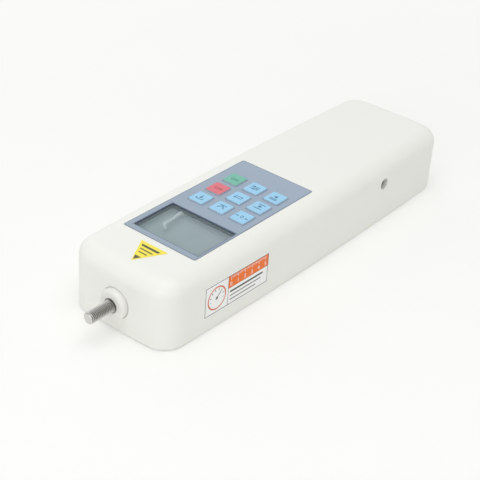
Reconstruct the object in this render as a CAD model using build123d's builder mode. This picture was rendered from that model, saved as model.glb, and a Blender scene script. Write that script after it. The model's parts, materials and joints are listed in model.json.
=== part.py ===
"""Hand-held digital force gauge: moulded case, load cell, display, keypad and battery pack.

Millimetres. X runs from the load stud (-X) to the tail (+X), Y across the case and Z up, out of
the keypad. The origin is on the underside, at the centre of the four stand-mounting holes.
"""

import os

from build123d import *

os.makedirs("parts", exist_ok=True)

# ---------------------------------------------------------------- case
CASE_LENGTH = 230.0
CASE_WIDTH = 66.0
CASE_HEIGHT = 36.0
END_CROWN = 1.2  # bulge of each end at its middle
SIDE_CROWN = 2.0  # bulge of each long side at its middle
CORNER_RADIUS = 12.0
TOP_ROUND = 8.0
BASE_ROUND = 1.6
WALL = 2.5

# ---------------------------------------------------------------- fits
SEAT_GAP = 0.1  # between fixed pieces that drop into each other
SCREW_GAP = 0.05  # round a screw in the hole it bites into
MOVE_GAP = 0.2  # round a piece that slides

# ---------------------------------------------------------------- back cover and its screws
COVER_THICKNESS = 3.0
COVER_GAP = 0.15
COVER_RIB_WIDTH = 2.0
COVER_RIB_INSET = 8.0  # from the tail wall of the battery tray
COVER_RIB_SPACING = 18.0
SCREW_INSET_X = 14.0  # corner screws, from the ends
SCREW_INSET_Y = 11.0  # corner screws, from the sides
MIDDLE_SCREW_X = 8.0
MIDDLE_SCREW_INSET_Y = 7.0
BOSS_RADIUS = 3.5
COVER_SCREW_RADIUS = 1.5
COVER_SCREW_HEAD_RADIUS = 2.9
COVER_SCREW_LENGTH = 12.0
COVER_SCREW_DRIVE = 0.9
COVER_SCREW_DRIVE_SPAN = 3.2
COVER_SCREW_DRIVE_DEPTH = 1.0
COVER_SCREW_POINT = 1.0
SIDE_RIB_STATIONS = (-70.0, -35.0, 30.0, 82.0)
SIDE_RIB_THICKNESS = 1.5
SIDE_RIB_DEPTH = 2.2

# ---------------------------------------------------------------- chassis plate and stand holes
CHASSIS_THICKNESS = 2.5
CHASSIS_LENGTH = 126.0
CHASSIS_SIDE_GAP = 8.5  # plate to the inside of each long wall
CHASSIS_CORNER = 4.0
STAND_SPACING_X = 100.0
STAND_SPACING_Y = 40.0
STAND_HOLE_RADIUS = 2.0
STAND_BOSS_RADIUS = 4.2
CHASSIS_SCREW_SPACING_X = 48.0
CHASSIS_SCREW_SPACING_Y = 30.0
CHASSIS_SCREW_RADIUS = 1.2
CHASSIS_SCREW_HEAD_RADIUS = 2.3
CHASSIS_SCREW_HEAD_HEIGHT = 1.4
CHASSIS_SCREW_BITE = 2.0

# ---------------------------------------------------------------- load line: stud, shaft, collar
LOAD_AXIS_DROP = 2.4  # below the middle of the case
STUD_RADIUS = 3.0
STUD_REACH = 15.1  # threaded length in front of the shaft
STUD_TIP_ROUND = 1.3
STUD_SPIGOT_RADIUS = 2.0
STUD_SPIGOT_LENGTH = 8.0
COLLAR_RADIUS = 7.85
COLLAR_HEIGHT = 3.3  # collar face in front of the case
COLLAR_RIM = 0.7  # straight edge of the collar before its dome
COLLAR_FACE_RADIUS = 5.6
COLLAR_DOME_RISE = 0.22  # where the dome passes, as shares of its height and width
COLLAR_DOME_SPREAD = 0.72
COLLAR_SLEEVE_RADIUS = 5.9
COLLAR_SLEEVE_LENGTH = 6.0
SPOT_FACE_DEPTH = 0.4
NOSE_BORE_GAP = 0.3
SHAFT_RADIUS = 3.55
SHAFT_STAND_OUT = 0.1
STOP_FLANGE_RADIUS = 7.0
STOP_FLANGE_THICKNESS = 2.5
STOP_FLANGE_GAP = 0.6
STOP_FLANGE_FLAT = 1.2  # cut from each side of the flange
SHAFT_NECK_RADIUS = 4.2
SHAFT_SPIGOT_RADIUS = 2.5
SHAFT_SPIGOT_LENGTH = 5.6
NOSE_PAD_RADIUS = 9.5
NOSE_PAD_THICKNESS = 1.5

# ---------------------------------------------------------------- load cell and its anchor
CELL_START_X = -98.0
CELL_LENGTH = 32.0
CELL_BOARD_GAP = 1.8  # top of the cell to the main board
CELL_DEPTH = 12.0
CELL_SLOT_WIDTH = 1.4
CELL_SLOT_INSET = 6.0
CELL_NECK = 3.5
CELL_HOLE_RADIUS = 3.4
CELL_HOLE_WALL = 1.0  # between a hole and the slot next to it
CELL_WEB_SLOT = 1.2
CELL_EDGE_ROUND = 0.6
LOAD_TRAVEL = 0.25  # either way
LOAD_SPARE = 0.1  # shaft shoulder to the cell at full load
GAUGE_LENGTH = 6.0
GAUGE_WIDTH = 4.0
GAUGE_THICKNESS = 0.15
GAUGE_MARGIN = 0.5
BRACKET_WALL = 8.0
BRACKET_FOOT = 15.0
BRACKET_FOOT_HEIGHT = 4.0
BRACKET_WIDTH = 24.0
BRACKET_FILLET_SHARE = 0.8  # of the room between the foot and the head of the bolt
CELL_BOLT_RADIUS = 2.5
CELL_BOLT_HEAD_RADIUS = 4.2
CELL_BOLT_HEAD_HEIGHT = 5.0
CELL_BOLT_BITE = 5.4
HEX_DRIVE_RADIUS = 2.2
HEX_DRIVE_DEPTH = 2.5
FOOT_SCREW_RADIUS = 2.0
FOOT_SCREW_HEAD_RADIUS = 3.5
FOOT_SCREW_HEAD_HEIGHT = 2.6
FOOT_SCREW_SPACING = 14.0
FOOT_SCREW_INSET = 4.6

# ---------------------------------------------------------------- keypad overlay and display
PANEL_START_X = -86.8
PANEL_LENGTH = 90.2
PANEL_SIDE_MARGIN = 10.4  # to each long side of the case
PANEL_CORNER = 1.0
PANEL_THICKNESS = 0.5
PANEL_RECESS = 0.4
WINDOW_START_X = -83.0
WINDOW_LENGTH = 27.6
WINDOW_SIDE_MARGIN = 2.4  # to each long side of the overlay
FIELD_Y = -0.9  # middle of the display and of the key field
WINDOW_CORNER = 0.8
WINDOW_LEDGE = 1.6
WINDOW_THICKNESS = 1.0
SIGHT_MARGIN = 0.4  # case opening beyond the printed window
DISPLAY_GAP = 0.2  # case ceiling to display frame
DISPLAY_FRAME_MARGIN = 4.2
DISPLAY_FRAME_WALL = 0.8
DISPLAY_FRAME_LIP = 0.4
DISPLAY_LIP_MARGIN = 1.3
GLASS_THICKNESS = 2.0
ZEBRA_WIDTH = 2.2
ZEBRA_MARGIN = 2.0

# ---------------------------------------------------------------- keys
KEY_FIRST_X = -16.2
KEY_PITCH = 13.1
KEY_LENGTH = 9.4
KEY_WIDTH = 8.8
KEY_CORNER = 0.9
KEY_EDGE = 0.35
KEY_RISE = 0.8  # key face above the overlay
KEY_GAP = 0.15
KEY_TRAVEL = 0.3
KEY_SPARE = 0.05  # left under a pressed key
PLUNGER_RADIUS = 2.0
PLUNGER_FLANGE_RADIUS = 2.8
PLUNGER_FLANGE_THICKNESS = 0.8
PLUNGER_TIP_RADIUS = 1.5
PLUNGER_TIP_DEPTH = 0.6
SWITCH_SIZE = 6.0
SWITCH_CORNER = 0.6
SWITCH_WELL = 1.0
KEY_ROWS = (("on", "set", "up"), ("off", "unit", "down"), ("save", "peak", "zero"))

# ---------------------------------------------------------------- main board
BOARD_START_X = -94.0
BOARD_LENGTH = 97.0
BOARD_SIDE_GAP = 4.5  # board to the inside of each long wall
BOARD_CORNER = 2.0
BOARD_THICKNESS = 1.6
BOARD_DROP = 5.0  # case ceiling to board
POST_RADIUS = 2.4
POST_INSET_X = 3.2
POST_INSET_Y = 4.0
BOARD_SCREW_RADIUS = 1.1
BOARD_SCREW_BITE = 4.0
BOARD_SCREW_HEAD_RADIUS = 2.1
BOARD_SCREW_HEAD_HEIGHT = 1.4
CHIP_PLACES = ((-30.0, -4.0, 12.0, 12.0, 1.6), (-12.0, 4.0, 7.5, 10.0, 2.2), (-36.0, 17.0, 9.0, 4.0, 1.5))
BUZZER_X = -16.0
BUZZER_INSET = 7.5  # from the side of the board
BUZZER_RADIUS = 6.0
BUZZER_HEIGHT = 4.5
BUZZER_PORT_RADIUS = 1.2
BUZZER_PORT_DEPTH = 2.25
CONNECTOR_HEIGHT = 5.0
CONNECTOR_LENGTH = 6.0
CONNECTOR_WIDTH = 10.0
POWER_CONNECTOR_X = -4.0
POWER_CONNECTOR_Y = -11.0
CELL_CABLE_INSET = 3.0  # from the fixed end of the cell
CELL_CONNECTOR_INSET = 7.0  # from the side of the board

# ---------------------------------------------------------------- battery pack and charging socket
BATTERY_RADIUS = 5.2
BATTERY_LENGTH = 44.0
BATTERY_PITCH = 10.6
BATTERY_COUNT = 6
BATTERY_CENTRE_X = 63.5
BATTERY_CAP_RADIUS = 1.9
BATTERY_CAP_HEIGHT = 0.7
TRAY_WALL = 1.2
TRAY_HEIGHT = 7.0
TRAY_GAP = 0.3
JACK_X = 56.0
JACK_RISE = 5.4  # above the middle of the case
JACK_HOLE_RADIUS = 3.2
JACK_WIDTH = 9.0
JACK_HEIGHT = 7.0
JACK_DEPTH = 13.0
JACK_BORE_RADIUS = 2.8
JACK_BORE_DEPTH = 9.0
JACK_PIN_RADIUS = 0.9
JACK_PIN_RECESS = 1.0
CRADLE_THICKNESS = 1.6
CRADLE_DEPTH = 9.0
WIRE_RADIUS = 0.8
WIRE_PITCH = 2.6
WIRE_HEIGHT = 2.5  # of the battery leads over the floor of the tray
BEND_SHARE = 0.6  # bend radius of a lead, as a share of its last run
CELL_CABLE_RADIUS = 0.9

# ---------------------------------------------------------------- stickers
STICKER_THICKNESS = 0.15
SIDE_STICKER_START_X = -89.5
SIDE_STICKER_LENGTH = 46.3
SIDE_STICKER_BOTTOM = 8.6
SIDE_STICKER_DROP = 10.0  # top of the sticker below the top of the case
POINTER_BASE_X = -91.0
POINTER_LENGTH = 15.8
POINTER_WIDTH = 16.4
POINTER_Y = -1.6

# ---------------------------------------------------------------- levels and places worked out
ceiling = CASE_HEIGHT - WALL
board_top = ceiling - BOARD_DROP
board_bottom = board_top - BOARD_THICKNESS
panel_width = CASE_WIDTH - 2 * PANEL_SIDE_MARGIN
window_width = panel_width - 2 * WINDOW_SIDE_MARGIN
board_width = CASE_WIDTH - 2 * (WALL + BOARD_SIDE_GAP)
chassis_width = CASE_WIDTH - 2 * (WALL + CHASSIS_SIDE_GAP)
load_axis_z = CASE_HEIGHT / 2 - LOAD_AXIS_DROP
cell_top = board_bottom - CELL_BOARD_GAP
cell_height = 2 * (cell_top - load_axis_z)
cell_slot_x = CELL_LENGTH / 2 - CELL_SLOT_INSET - CELL_SLOT_WIDTH / 2
cell_hole_x = cell_slot_x - CELL_SLOT_WIDTH / 2 - CELL_HOLE_WALL - CELL_HOLE_RADIUS
cell_face_gap = LOAD_TRAVEL + LOAD_SPARE
key_undercut = KEY_TRAVEL + KEY_SPARE
jack_z = CASE_HEIGHT / 2 + JACK_RISE
buzzer_y = board_width / 2 - BUZZER_INSET
cell_connector_y = board_width / 2 - CELL_CONNECTOR_INSET
chassis_top = COVER_THICKNESS + CHASSIS_THICKNESS
recess_floor = CASE_HEIGHT - PANEL_RECESS
panel_top = recess_floor + PANEL_THICKNESS
panel_x = PANEL_START_X + PANEL_LENGTH / 2
window_x = WINDOW_START_X + WINDOW_LENGTH / 2
ledge_level = recess_floor - WINDOW_THICKNESS
board_x = BOARD_START_X + BOARD_LENGTH / 2
case_front = -CASE_LENGTH / 2
collar_face = case_front - COLLAR_HEIGHT
collar_bore_radius = SHAFT_RADIUS + NOSE_BORE_GAP
shaft_front = collar_face - SHAFT_STAND_OUT
stud_tip = shaft_front - STUD_REACH
load_axis = Axis((0, 0, load_axis_z), (1, 0, 0))
cell_end = CELL_START_X + CELL_LENGTH
cell_middle = CELL_START_X + CELL_LENGTH / 2
cell_side = CELL_DEPTH / 2
display_top = ceiling - DISPLAY_GAP
glass_top = display_top - DISPLAY_FRAME_LIP
glass_bottom = glass_top - GLASS_THICKNESS
frame_length = WINDOW_LENGTH + 2 * DISPLAY_FRAME_MARGIN
frame_width = window_width + 2 * DISPLAY_FRAME_MARGIN
pocket_length = frame_length - 2 * DISPLAY_FRAME_WALL
pocket_width = frame_width - 2 * DISPLAY_FRAME_WALL
glass_length = pocket_length - 2 * SEAT_GAP
glass_width = pocket_width - 2 * SEAT_GAP
key_top = panel_top + KEY_RISE
key_underside = recess_floor + key_undercut
flange_top = ceiling - key_undercut
flange_bottom = flange_top - PLUNGER_FLANGE_THICKNESS
switch_top = flange_bottom - key_undercut
well_floor = switch_top - SWITCH_WELL
key_places = {
    name: (KEY_FIRST_X - row * KEY_PITCH, FIELD_Y + (1 - column) * KEY_PITCH)
    for row, names in enumerate(KEY_ROWS)
    for column, name in enumerate(names)
}
corner_screw_x = CASE_LENGTH / 2 - SCREW_INSET_X
corner_screw_y = CASE_WIDTH / 2 - SCREW_INSET_Y
middle_screw_y = CASE_WIDTH / 2 - MIDDLE_SCREW_INSET_Y
cover_screw_places = [
    (x, side * y)
    for side in (-1, 1)
    for x, y in (
        (-corner_screw_x, corner_screw_y),
        (MIDDLE_SCREW_X, middle_screw_y),
        (corner_screw_x, corner_screw_y),
    )
]
chassis_start_x = cell_end
chassis_x = chassis_start_x + CHASSIS_LENGTH / 2
post_places = [
    (x, side * (board_width / 2 - POST_INSET_Y))
    for side in (-1, 1)
    for x in (BOARD_START_X + POST_INSET_X, BOARD_START_X + BOARD_LENGTH - POST_INSET_X)
]
foot_start = cell_end + BRACKET_WALL
foot_end = foot_start + BRACKET_FOOT
foot_top = chassis_top + BRACKET_FOOT_HEIGHT
foot_screw_x = foot_end - FOOT_SCREW_INSET
bracket_fillet = BRACKET_FILLET_SHARE * (load_axis_z - CELL_BOLT_HEAD_RADIUS - foot_top)
tray_length = (BATTERY_COUNT - 1) * BATTERY_PITCH + 2 * (BATTERY_RADIUS + TRAY_GAP + TRAY_WALL)
tray_width = BATTERY_LENGTH + 2 * (BATTERY_CAP_HEIGHT + TRAY_GAP + TRAY_WALL)
tray_front = BATTERY_CENTRE_X - tray_length / 2
battery_axis_z = chassis_top + TRAY_WALL + BATTERY_RADIUS


def case_outline(inset=0.0):
    """The case in plan: four crowned sides with round corners, set in from the outer wall."""
    end_x = CASE_LENGTH / 2 - inset
    side_y = CASE_WIDTH / 2 - inset
    corner_x = end_x - END_CROWN
    corner_y = side_y - SIDE_CROWN
    with BuildSketch() as outline:
        with BuildLine():
            ThreePointArc((-corner_x, -corner_y), (0, -side_y), (corner_x, -corner_y))
            ThreePointArc((corner_x, -corner_y), (end_x, 0), (corner_x, corner_y))
            ThreePointArc((corner_x, corner_y), (0, side_y), (-corner_x, corner_y))
            ThreePointArc((-corner_x, corner_y), (-end_x, 0), (-corner_x, -corner_y))
        make_face()
        fillet(outline.vertices(), CORNER_RADIUS - inset)
    return outline.sketch


def side_drop(station):
    """How far a crowned side has fallen back from the full width, at a place along X."""
    corner_x = CASE_LENGTH / 2 - END_CROWN
    crown_radius = (corner_x**2 + SIDE_CROWN**2) / (2 * SIDE_CROWN)
    return crown_radius - (crown_radius**2 - station**2) ** 0.5


def save(part, name):
    """Label one finished piece and write it as a STEP file of its own."""
    part.label = name
    export_step(part, f"parts/{name}.step")


# ---------------------------------------------------------------- the room inside the case
with BuildPart() as hollow:
    with BuildSketch():
        add(case_outline(WALL))
    extrude(amount=ceiling)
    fillet(hollow.faces().sort_by(Axis.Z)[-1].edges(), TOP_ROUND - WALL)
    # screw bosses and board posts hang from the ceiling, so they are left out of the room
    with BuildSketch(Plane.XY.offset(COVER_THICKNESS)):
        with Locations(*cover_screw_places):
            Circle(BOSS_RADIUS)
    extrude(amount=CASE_HEIGHT, mode=Mode.SUBTRACT)
    with BuildSketch(Plane.XY.offset(board_top)):
        with Locations(*post_places):
            Circle(POST_RADIUS)
    extrude(amount=CASE_HEIGHT, mode=Mode.SUBTRACT)
    # ribs down the long sides, which the cover closes against
    with BuildSketch(Plane.XY.offset(COVER_THICKNESS)):
        for station in SIDE_RIB_STATIONS:
            with Locations((station, CASE_WIDTH / 2 - WALL), (station, WALL - CASE_WIDTH / 2)):
                Rectangle(SIDE_RIB_THICKNESS, 2 * SIDE_RIB_DEPTH)
    extrude(amount=CASE_HEIGHT, mode=Mode.SUBTRACT)
    # pad behind the nose bore
    with BuildSketch(Plane.YZ.offset(case_front)):
        with Locations((0, load_axis_z)):
            Circle(NOSE_PAD_RADIUS)
    extrude(amount=WALL + NOSE_PAD_THICKNESS, mode=Mode.SUBTRACT)
    # two cheeks that hold the charging socket
    with BuildSketch(Plane.XY.offset(jack_z - JACK_HEIGHT / 2)):
        cheek_offset = (JACK_WIDTH + CRADLE_THICKNESS) / 2 + SEAT_GAP
        for cheek_x in (JACK_X - cheek_offset, JACK_X + cheek_offset):
            with Locations((cheek_x, -CASE_WIDTH / 2)):
                Rectangle(CRADLE_THICKNESS, 2 * (WALL + CRADLE_DEPTH))
    extrude(amount=CASE_HEIGHT, mode=Mode.SUBTRACT)

# ---------------------------------------------------------------- case shell
with BuildPart() as case_shell:
    with BuildSketch():
        add(case_outline())
    extrude(amount=CASE_HEIGHT)
    fillet(case_shell.faces().sort_by(Axis.Z)[-1].edges(), TOP_ROUND)
    fillet(case_shell.faces().sort_by(Axis.Z)[0].edges(), BASE_ROUND)
    add(hollow.part, mode=Mode.SUBTRACT)
    # shallow bed for the keypad overlay
    with BuildSketch(Plane.XY.offset(recess_floor)):
        with Locations((panel_x, 0)):
            RectangleRounded(
                PANEL_LENGTH + 2 * SEAT_GAP, panel_width + 2 * SEAT_GAP, PANEL_CORNER + SEAT_GAP
            )
    extrude(amount=CASE_HEIGHT - recess_floor, mode=Mode.SUBTRACT)
    # ledge for the clear window, then the sight opening
    with BuildSketch(Plane.XY.offset(ledge_level)):
        with Locations((window_x, FIELD_Y)):
            RectangleRounded(
                WINDOW_LENGTH + 2 * WINDOW_LEDGE, window_width + 2 * WINDOW_LEDGE, WINDOW_CORNER
            )
    extrude(amount=CASE_HEIGHT - ledge_level, mode=Mode.SUBTRACT)
    with BuildSketch(Plane.XY.offset(board_top)):
        with Locations((window_x, FIELD_Y)):
            RectangleRounded(
                WINDOW_LENGTH + 2 * SIGHT_MARGIN, window_width + 2 * SIGHT_MARGIN, WINDOW_CORNER
            )
    extrude(amount=CASE_HEIGHT - board_top, mode=Mode.SUBTRACT)
    # nine plunger holes
    with BuildSketch(Plane.XY.offset(ceiling - WALL)):
        with Locations(*key_places.values()):
            Circle(PLUNGER_RADIUS + MOVE_GAP)
    extrude(amount=2 * WALL, mode=Mode.SUBTRACT)
    # pilot holes for the cover and board screws
    with BuildSketch(Plane.XY.offset(COVER_THICKNESS)):
        with Locations(*cover_screw_places):
            Circle(COVER_SCREW_RADIUS + SCREW_GAP)
    extrude(amount=COVER_SCREW_LENGTH, mode=Mode.SUBTRACT)
    with BuildSketch(Plane.XY.offset(board_top)):
        with Locations(*post_places):
            Circle(BOARD_SCREW_RADIUS + SCREW_GAP)
    extrude(amount=BOARD_SCREW_BITE + SEAT_GAP, mode=Mode.SUBTRACT)
    # nose: flat seat for the collar, then its bore
    with BuildSketch(Plane.YZ.offset(case_front - WALL)):
        with Locations((0, load_axis_z)):
            Circle(COLLAR_RADIUS + SEAT_GAP)
    extrude(amount=WALL + SPOT_FACE_DEPTH, mode=Mode.SUBTRACT)
    with BuildSketch(Plane.YZ.offset(case_front)):
        with Locations((0, load_axis_z)):
            Circle(COLLAR_SLEEVE_RADIUS + SEAT_GAP)
    extrude(amount=WALL + NOSE_PAD_THICKNESS, mode=Mode.SUBTRACT)
    # round hole over the charging socket
    with BuildSketch(Plane.XZ.offset(CASE_WIDTH / 2 - 2 * WALL)):
        with Locations((JACK_X, jack_z)):
            Circle(JACK_HOLE_RADIUS)
    extrude(amount=3 * WALL, mode=Mode.SUBTRACT)
save(case_shell.part, "case_shell")

# ---------------------------------------------------------------- back cover
with BuildPart() as back_cover:
    with BuildSketch():
        add(case_outline(WALL + COVER_GAP))
    extrude(amount=COVER_THICKNESS)
    # two ribs that carry the battery tray
    with BuildSketch(Plane.XY.offset(COVER_THICKNESS)):
        rear_rib_x = tray_front + tray_length - COVER_RIB_INSET
        with Locations((rear_rib_x, 0), (rear_rib_x - COVER_RIB_SPACING, 0)):
            Rectangle(COVER_RIB_WIDTH, BATTERY_LENGTH)
    extrude(amount=CHASSIS_THICKNESS)
    with Locations((0, 0, 0)):
        with GridLocations(STAND_SPACING_X, STAND_SPACING_Y, 2, 2):
            Hole(STAND_BOSS_RADIUS + SEAT_GAP, 2 * COVER_THICKNESS)
    # countersunk cover screws, entered from below
    with Locations(Plane(origin=(0, 0, 0), x_dir=(1, 0, 0), z_dir=(0, 0, -1))):
        with Locations(*[(x, -y) for x, y in cover_screw_places]):
            CounterSinkHole(COVER_SCREW_RADIUS + SEAT_GAP, COVER_SCREW_HEAD_RADIUS + SEAT_GAP)
    # blind holes for the screws that hold the chassis plate
    with BuildSketch(Plane.XY.offset(COVER_THICKNESS)):
        with GridLocations(CHASSIS_SCREW_SPACING_X, CHASSIS_SCREW_SPACING_Y, 2, 2):
            Circle(CHASSIS_SCREW_RADIUS + SCREW_GAP)
    extrude(amount=-CHASSIS_SCREW_BITE - SEAT_GAP, mode=Mode.SUBTRACT)
save(back_cover.part, "back_cover")

# ---------------------------------------------------------------- cover screws
with BuildPart() as cover_screws:
    for screw_x, screw_y in cover_screw_places:
        with BuildSketch(Plane(origin=(screw_x, screw_y, 0), x_dir=(1, 0, 0), z_dir=(0, -1, 0))):
            with BuildLine():
                Polyline(
                    (0, 0),
                    (COVER_SCREW_HEAD_RADIUS, 0),
                    (COVER_SCREW_RADIUS, COVER_SCREW_HEAD_RADIUS - COVER_SCREW_RADIUS),
                    (COVER_SCREW_RADIUS, COVER_SCREW_LENGTH - COVER_SCREW_POINT),
                    (0, COVER_SCREW_LENGTH),
                    close=True,
                )
            make_face()
        revolve(axis=Axis((screw_x, screw_y, 0), (0, 0, 1)))
    with BuildSketch():
        with Locations(*cover_screw_places):
            Rectangle(COVER_SCREW_DRIVE_SPAN, COVER_SCREW_DRIVE)
            Rectangle(COVER_SCREW_DRIVE, COVER_SCREW_DRIVE_SPAN)
    extrude(amount=COVER_SCREW_DRIVE_DEPTH, mode=Mode.SUBTRACT)
save(cover_screws.part, "cover_screws")

# ---------------------------------------------------------------- chassis plate
with BuildPart() as chassis_plate:
    with BuildSketch(Plane.XY.offset(COVER_THICKNESS)):
        with Locations((chassis_x, 0)):
            RectangleRounded(CHASSIS_LENGTH, chassis_width, CHASSIS_CORNER)
    extrude(amount=CHASSIS_THICKNESS)
    # round feet that reach through the cover to the underside
    with BuildSketch():
        with GridLocations(STAND_SPACING_X, STAND_SPACING_Y, 2, 2):
            Circle(STAND_BOSS_RADIUS)
    extrude(amount=chassis_top)
    with BuildSketch():
        with GridLocations(STAND_SPACING_X, STAND_SPACING_Y, 2, 2):
            Circle(STAND_HOLE_RADIUS)
        with GridLocations(CHASSIS_SCREW_SPACING_X, CHASSIS_SCREW_SPACING_Y, 2, 2):
            Circle(CHASSIS_SCREW_RADIUS + SEAT_GAP)
        with Locations((foot_screw_x, 0)):
            with GridLocations(0, FOOT_SCREW_SPACING, 1, 2):
                Circle(FOOT_SCREW_RADIUS + SCREW_GAP)
    extrude(amount=chassis_top, mode=Mode.SUBTRACT)
save(chassis_plate.part, "chassis_plate")

with BuildPart() as chassis_screws:
    with BuildSketch(Plane.XY.offset(chassis_top)):
        with GridLocations(CHASSIS_SCREW_SPACING_X, CHASSIS_SCREW_SPACING_Y, 2, 2):
            Circle(CHASSIS_SCREW_HEAD_RADIUS)
    extrude(amount=CHASSIS_SCREW_HEAD_HEIGHT)
    with BuildSketch(Plane.XY.offset(COVER_THICKNESS - CHASSIS_SCREW_BITE)):
        with GridLocations(CHASSIS_SCREW_SPACING_X, CHASSIS_SCREW_SPACING_Y, 2, 2):
            Circle(CHASSIS_SCREW_RADIUS)
    extrude(amount=CHASSIS_SCREW_BITE + CHASSIS_THICKNESS)
save(chassis_screws.part, "chassis_screws")

# ---------------------------------------------------------------- nose collar
collar_seat = case_front + SPOT_FACE_DEPTH
collar_dome_x = collar_face + COLLAR_DOME_RISE * (COLLAR_HEIGHT - COLLAR_RIM)
collar_dome_radius = COLLAR_FACE_RADIUS + COLLAR_DOME_SPREAD * (COLLAR_RADIUS - COLLAR_FACE_RADIUS)
with BuildPart() as nose_collar:
    with BuildSketch(Plane.XZ):
        with BuildLine():
            Polyline(
                (collar_face, load_axis_z + COLLAR_FACE_RADIUS),
                (collar_face, load_axis_z + collar_bore_radius),
                (collar_seat + COLLAR_SLEEVE_LENGTH, load_axis_z + collar_bore_radius),
                (collar_seat + COLLAR_SLEEVE_LENGTH, load_axis_z + COLLAR_SLEEVE_RADIUS),
                (collar_seat, load_axis_z + COLLAR_SLEEVE_RADIUS),
                (collar_seat, load_axis_z + COLLAR_RADIUS),
                (case_front - COLLAR_RIM, load_axis_z + COLLAR_RADIUS),
            )
            # domed shoulder between the rim and the flat face
            ThreePointArc(
                (case_front - COLLAR_RIM, load_axis_z + COLLAR_RADIUS),
                (collar_dome_x, load_axis_z + collar_dome_radius),
                (collar_face, load_axis_z + COLLAR_FACE_RADIUS),
            )
        make_face()
    revolve(axis=load_axis)
save(nose_collar.part, "nose_collar")

# ---------------------------------------------------------------- load stud and shaft
with BuildPart() as load_stud:
    with BuildSketch(Plane.XZ):
        with BuildLine():
            Polyline(
                (stud_tip + STUD_TIP_ROUND, load_axis_z + STUD_RADIUS),
                (shaft_front, load_axis_z + STUD_RADIUS),
                (shaft_front, load_axis_z + STUD_SPIGOT_RADIUS),
                (shaft_front + STUD_SPIGOT_LENGTH, load_axis_z + STUD_SPIGOT_RADIUS),
                (shaft_front + STUD_SPIGOT_LENGTH, load_axis_z),
                (stud_tip, load_axis_z),
                (stud_tip, load_axis_z + STUD_RADIUS - STUD_TIP_ROUND),
            )
            TangentArc(
                (stud_tip, load_axis_z + STUD_RADIUS - STUD_TIP_ROUND),
                (stud_tip + STUD_TIP_ROUND, load_axis_z + STUD_RADIUS),
                tangent=(0, 1),
            )
        make_face()
    revolve(axis=load_axis)
save(load_stud.part, "load_stud")

collar_end = collar_seat + COLLAR_SLEEVE_LENGTH
flange_front = collar_end + STOP_FLANGE_GAP
flange_back = flange_front + STOP_FLANGE_THICKNESS
neck_back = CELL_START_X - cell_face_gap
with BuildPart() as load_shaft:
    with BuildSketch(Plane.XZ):
        with BuildLine():
            Polyline(
                (shaft_front, load_axis_z),
                (shaft_front, load_axis_z + SHAFT_RADIUS),
                (flange_front, load_axis_z + SHAFT_RADIUS),
                (flange_front, load_axis_z + STOP_FLANGE_RADIUS),
                (flange_back, load_axis_z + STOP_FLANGE_RADIUS),
                (flange_back, load_axis_z + SHAFT_NECK_RADIUS),
                (neck_back, load_axis_z + SHAFT_NECK_RADIUS),
                (neck_back, load_axis_z + SHAFT_SPIGOT_RADIUS),
                (neck_back + SHAFT_SPIGOT_LENGTH, load_axis_z + SHAFT_SPIGOT_RADIUS),
                (neck_back + SHAFT_SPIGOT_LENGTH, load_axis_z),
                close=True,
            )
        make_face()
    revolve(axis=load_axis)
    # two flats on the flange, which keep the shaft from turning in a spanner
    with BuildSketch(Plane.YZ.offset(flange_front)):
        with Locations((0, load_axis_z)):
            with GridLocations(2 * STOP_FLANGE_RADIUS, 0, 2, 1):
                Rectangle(2 * STOP_FLANGE_FLAT, 2 * STOP_FLANGE_RADIUS)
    extrude(amount=STOP_FLANGE_THICKNESS, mode=Mode.SUBTRACT)
    # socket that takes the spigot of the stud
    with BuildSketch(Plane.YZ.offset(shaft_front)):
        with Locations((0, load_axis_z)):
            Circle(STUD_SPIGOT_RADIUS + SCREW_GAP)
    extrude(amount=STUD_SPIGOT_LENGTH + SEAT_GAP, mode=Mode.SUBTRACT)
save(load_shaft.part, "load_shaft")

# ---------------------------------------------------------------- load cell
with BuildPart() as load_cell:
    with BuildSketch(Plane.XZ.offset(-cell_side)):
        with Locations((cell_middle, load_axis_z)):
            RectangleRounded(CELL_LENGTH, cell_height, CELL_EDGE_ROUND)
            # two slots from opposite sides give the beam its S
            with Locations((-cell_slot_x, CELL_NECK), (cell_slot_x, -CELL_NECK)):
                Rectangle(CELL_SLOT_WIDTH, cell_height, mode=Mode.SUBTRACT)
            # paired holes that leave four thin flexures
            with GridLocations(2 * cell_hole_x, 0, 2, 1):
                Circle(CELL_HOLE_RADIUS, mode=Mode.SUBTRACT)
            Rectangle(2 * cell_hole_x, CELL_WEB_SLOT, mode=Mode.SUBTRACT)
    extrude(amount=CELL_DEPTH)
    with BuildSketch(Plane.YZ.offset(CELL_START_X)):
        with Locations((0, load_axis_z)):
            Circle(SHAFT_SPIGOT_RADIUS + MOVE_GAP)
    extrude(amount=CELL_SLOT_INSET, mode=Mode.SUBTRACT)
    with BuildSketch(Plane.YZ.offset(cell_end)):
        with Locations((0, load_axis_z)):
            Circle(CELL_BOLT_RADIUS + SCREW_GAP)
    extrude(amount=-CELL_SLOT_INSET, mode=Mode.SUBTRACT)
save(load_cell.part, "load_cell")

with BuildPart() as strain_gauges:
    for face_y, outward in ((-cell_side, 1), (cell_side, -1)):
        with BuildSketch(Plane.XZ.offset(-face_y)):
            with Locations((cell_middle, load_axis_z)):
                with GridLocations(0, cell_height - GAUGE_WIDTH - 2 * GAUGE_MARGIN, 1, 2):
                    Rectangle(GAUGE_LENGTH, GAUGE_WIDTH)
        extrude(amount=outward * GAUGE_THICKNESS)
save(strain_gauges.part, "strain_gauges")

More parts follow.
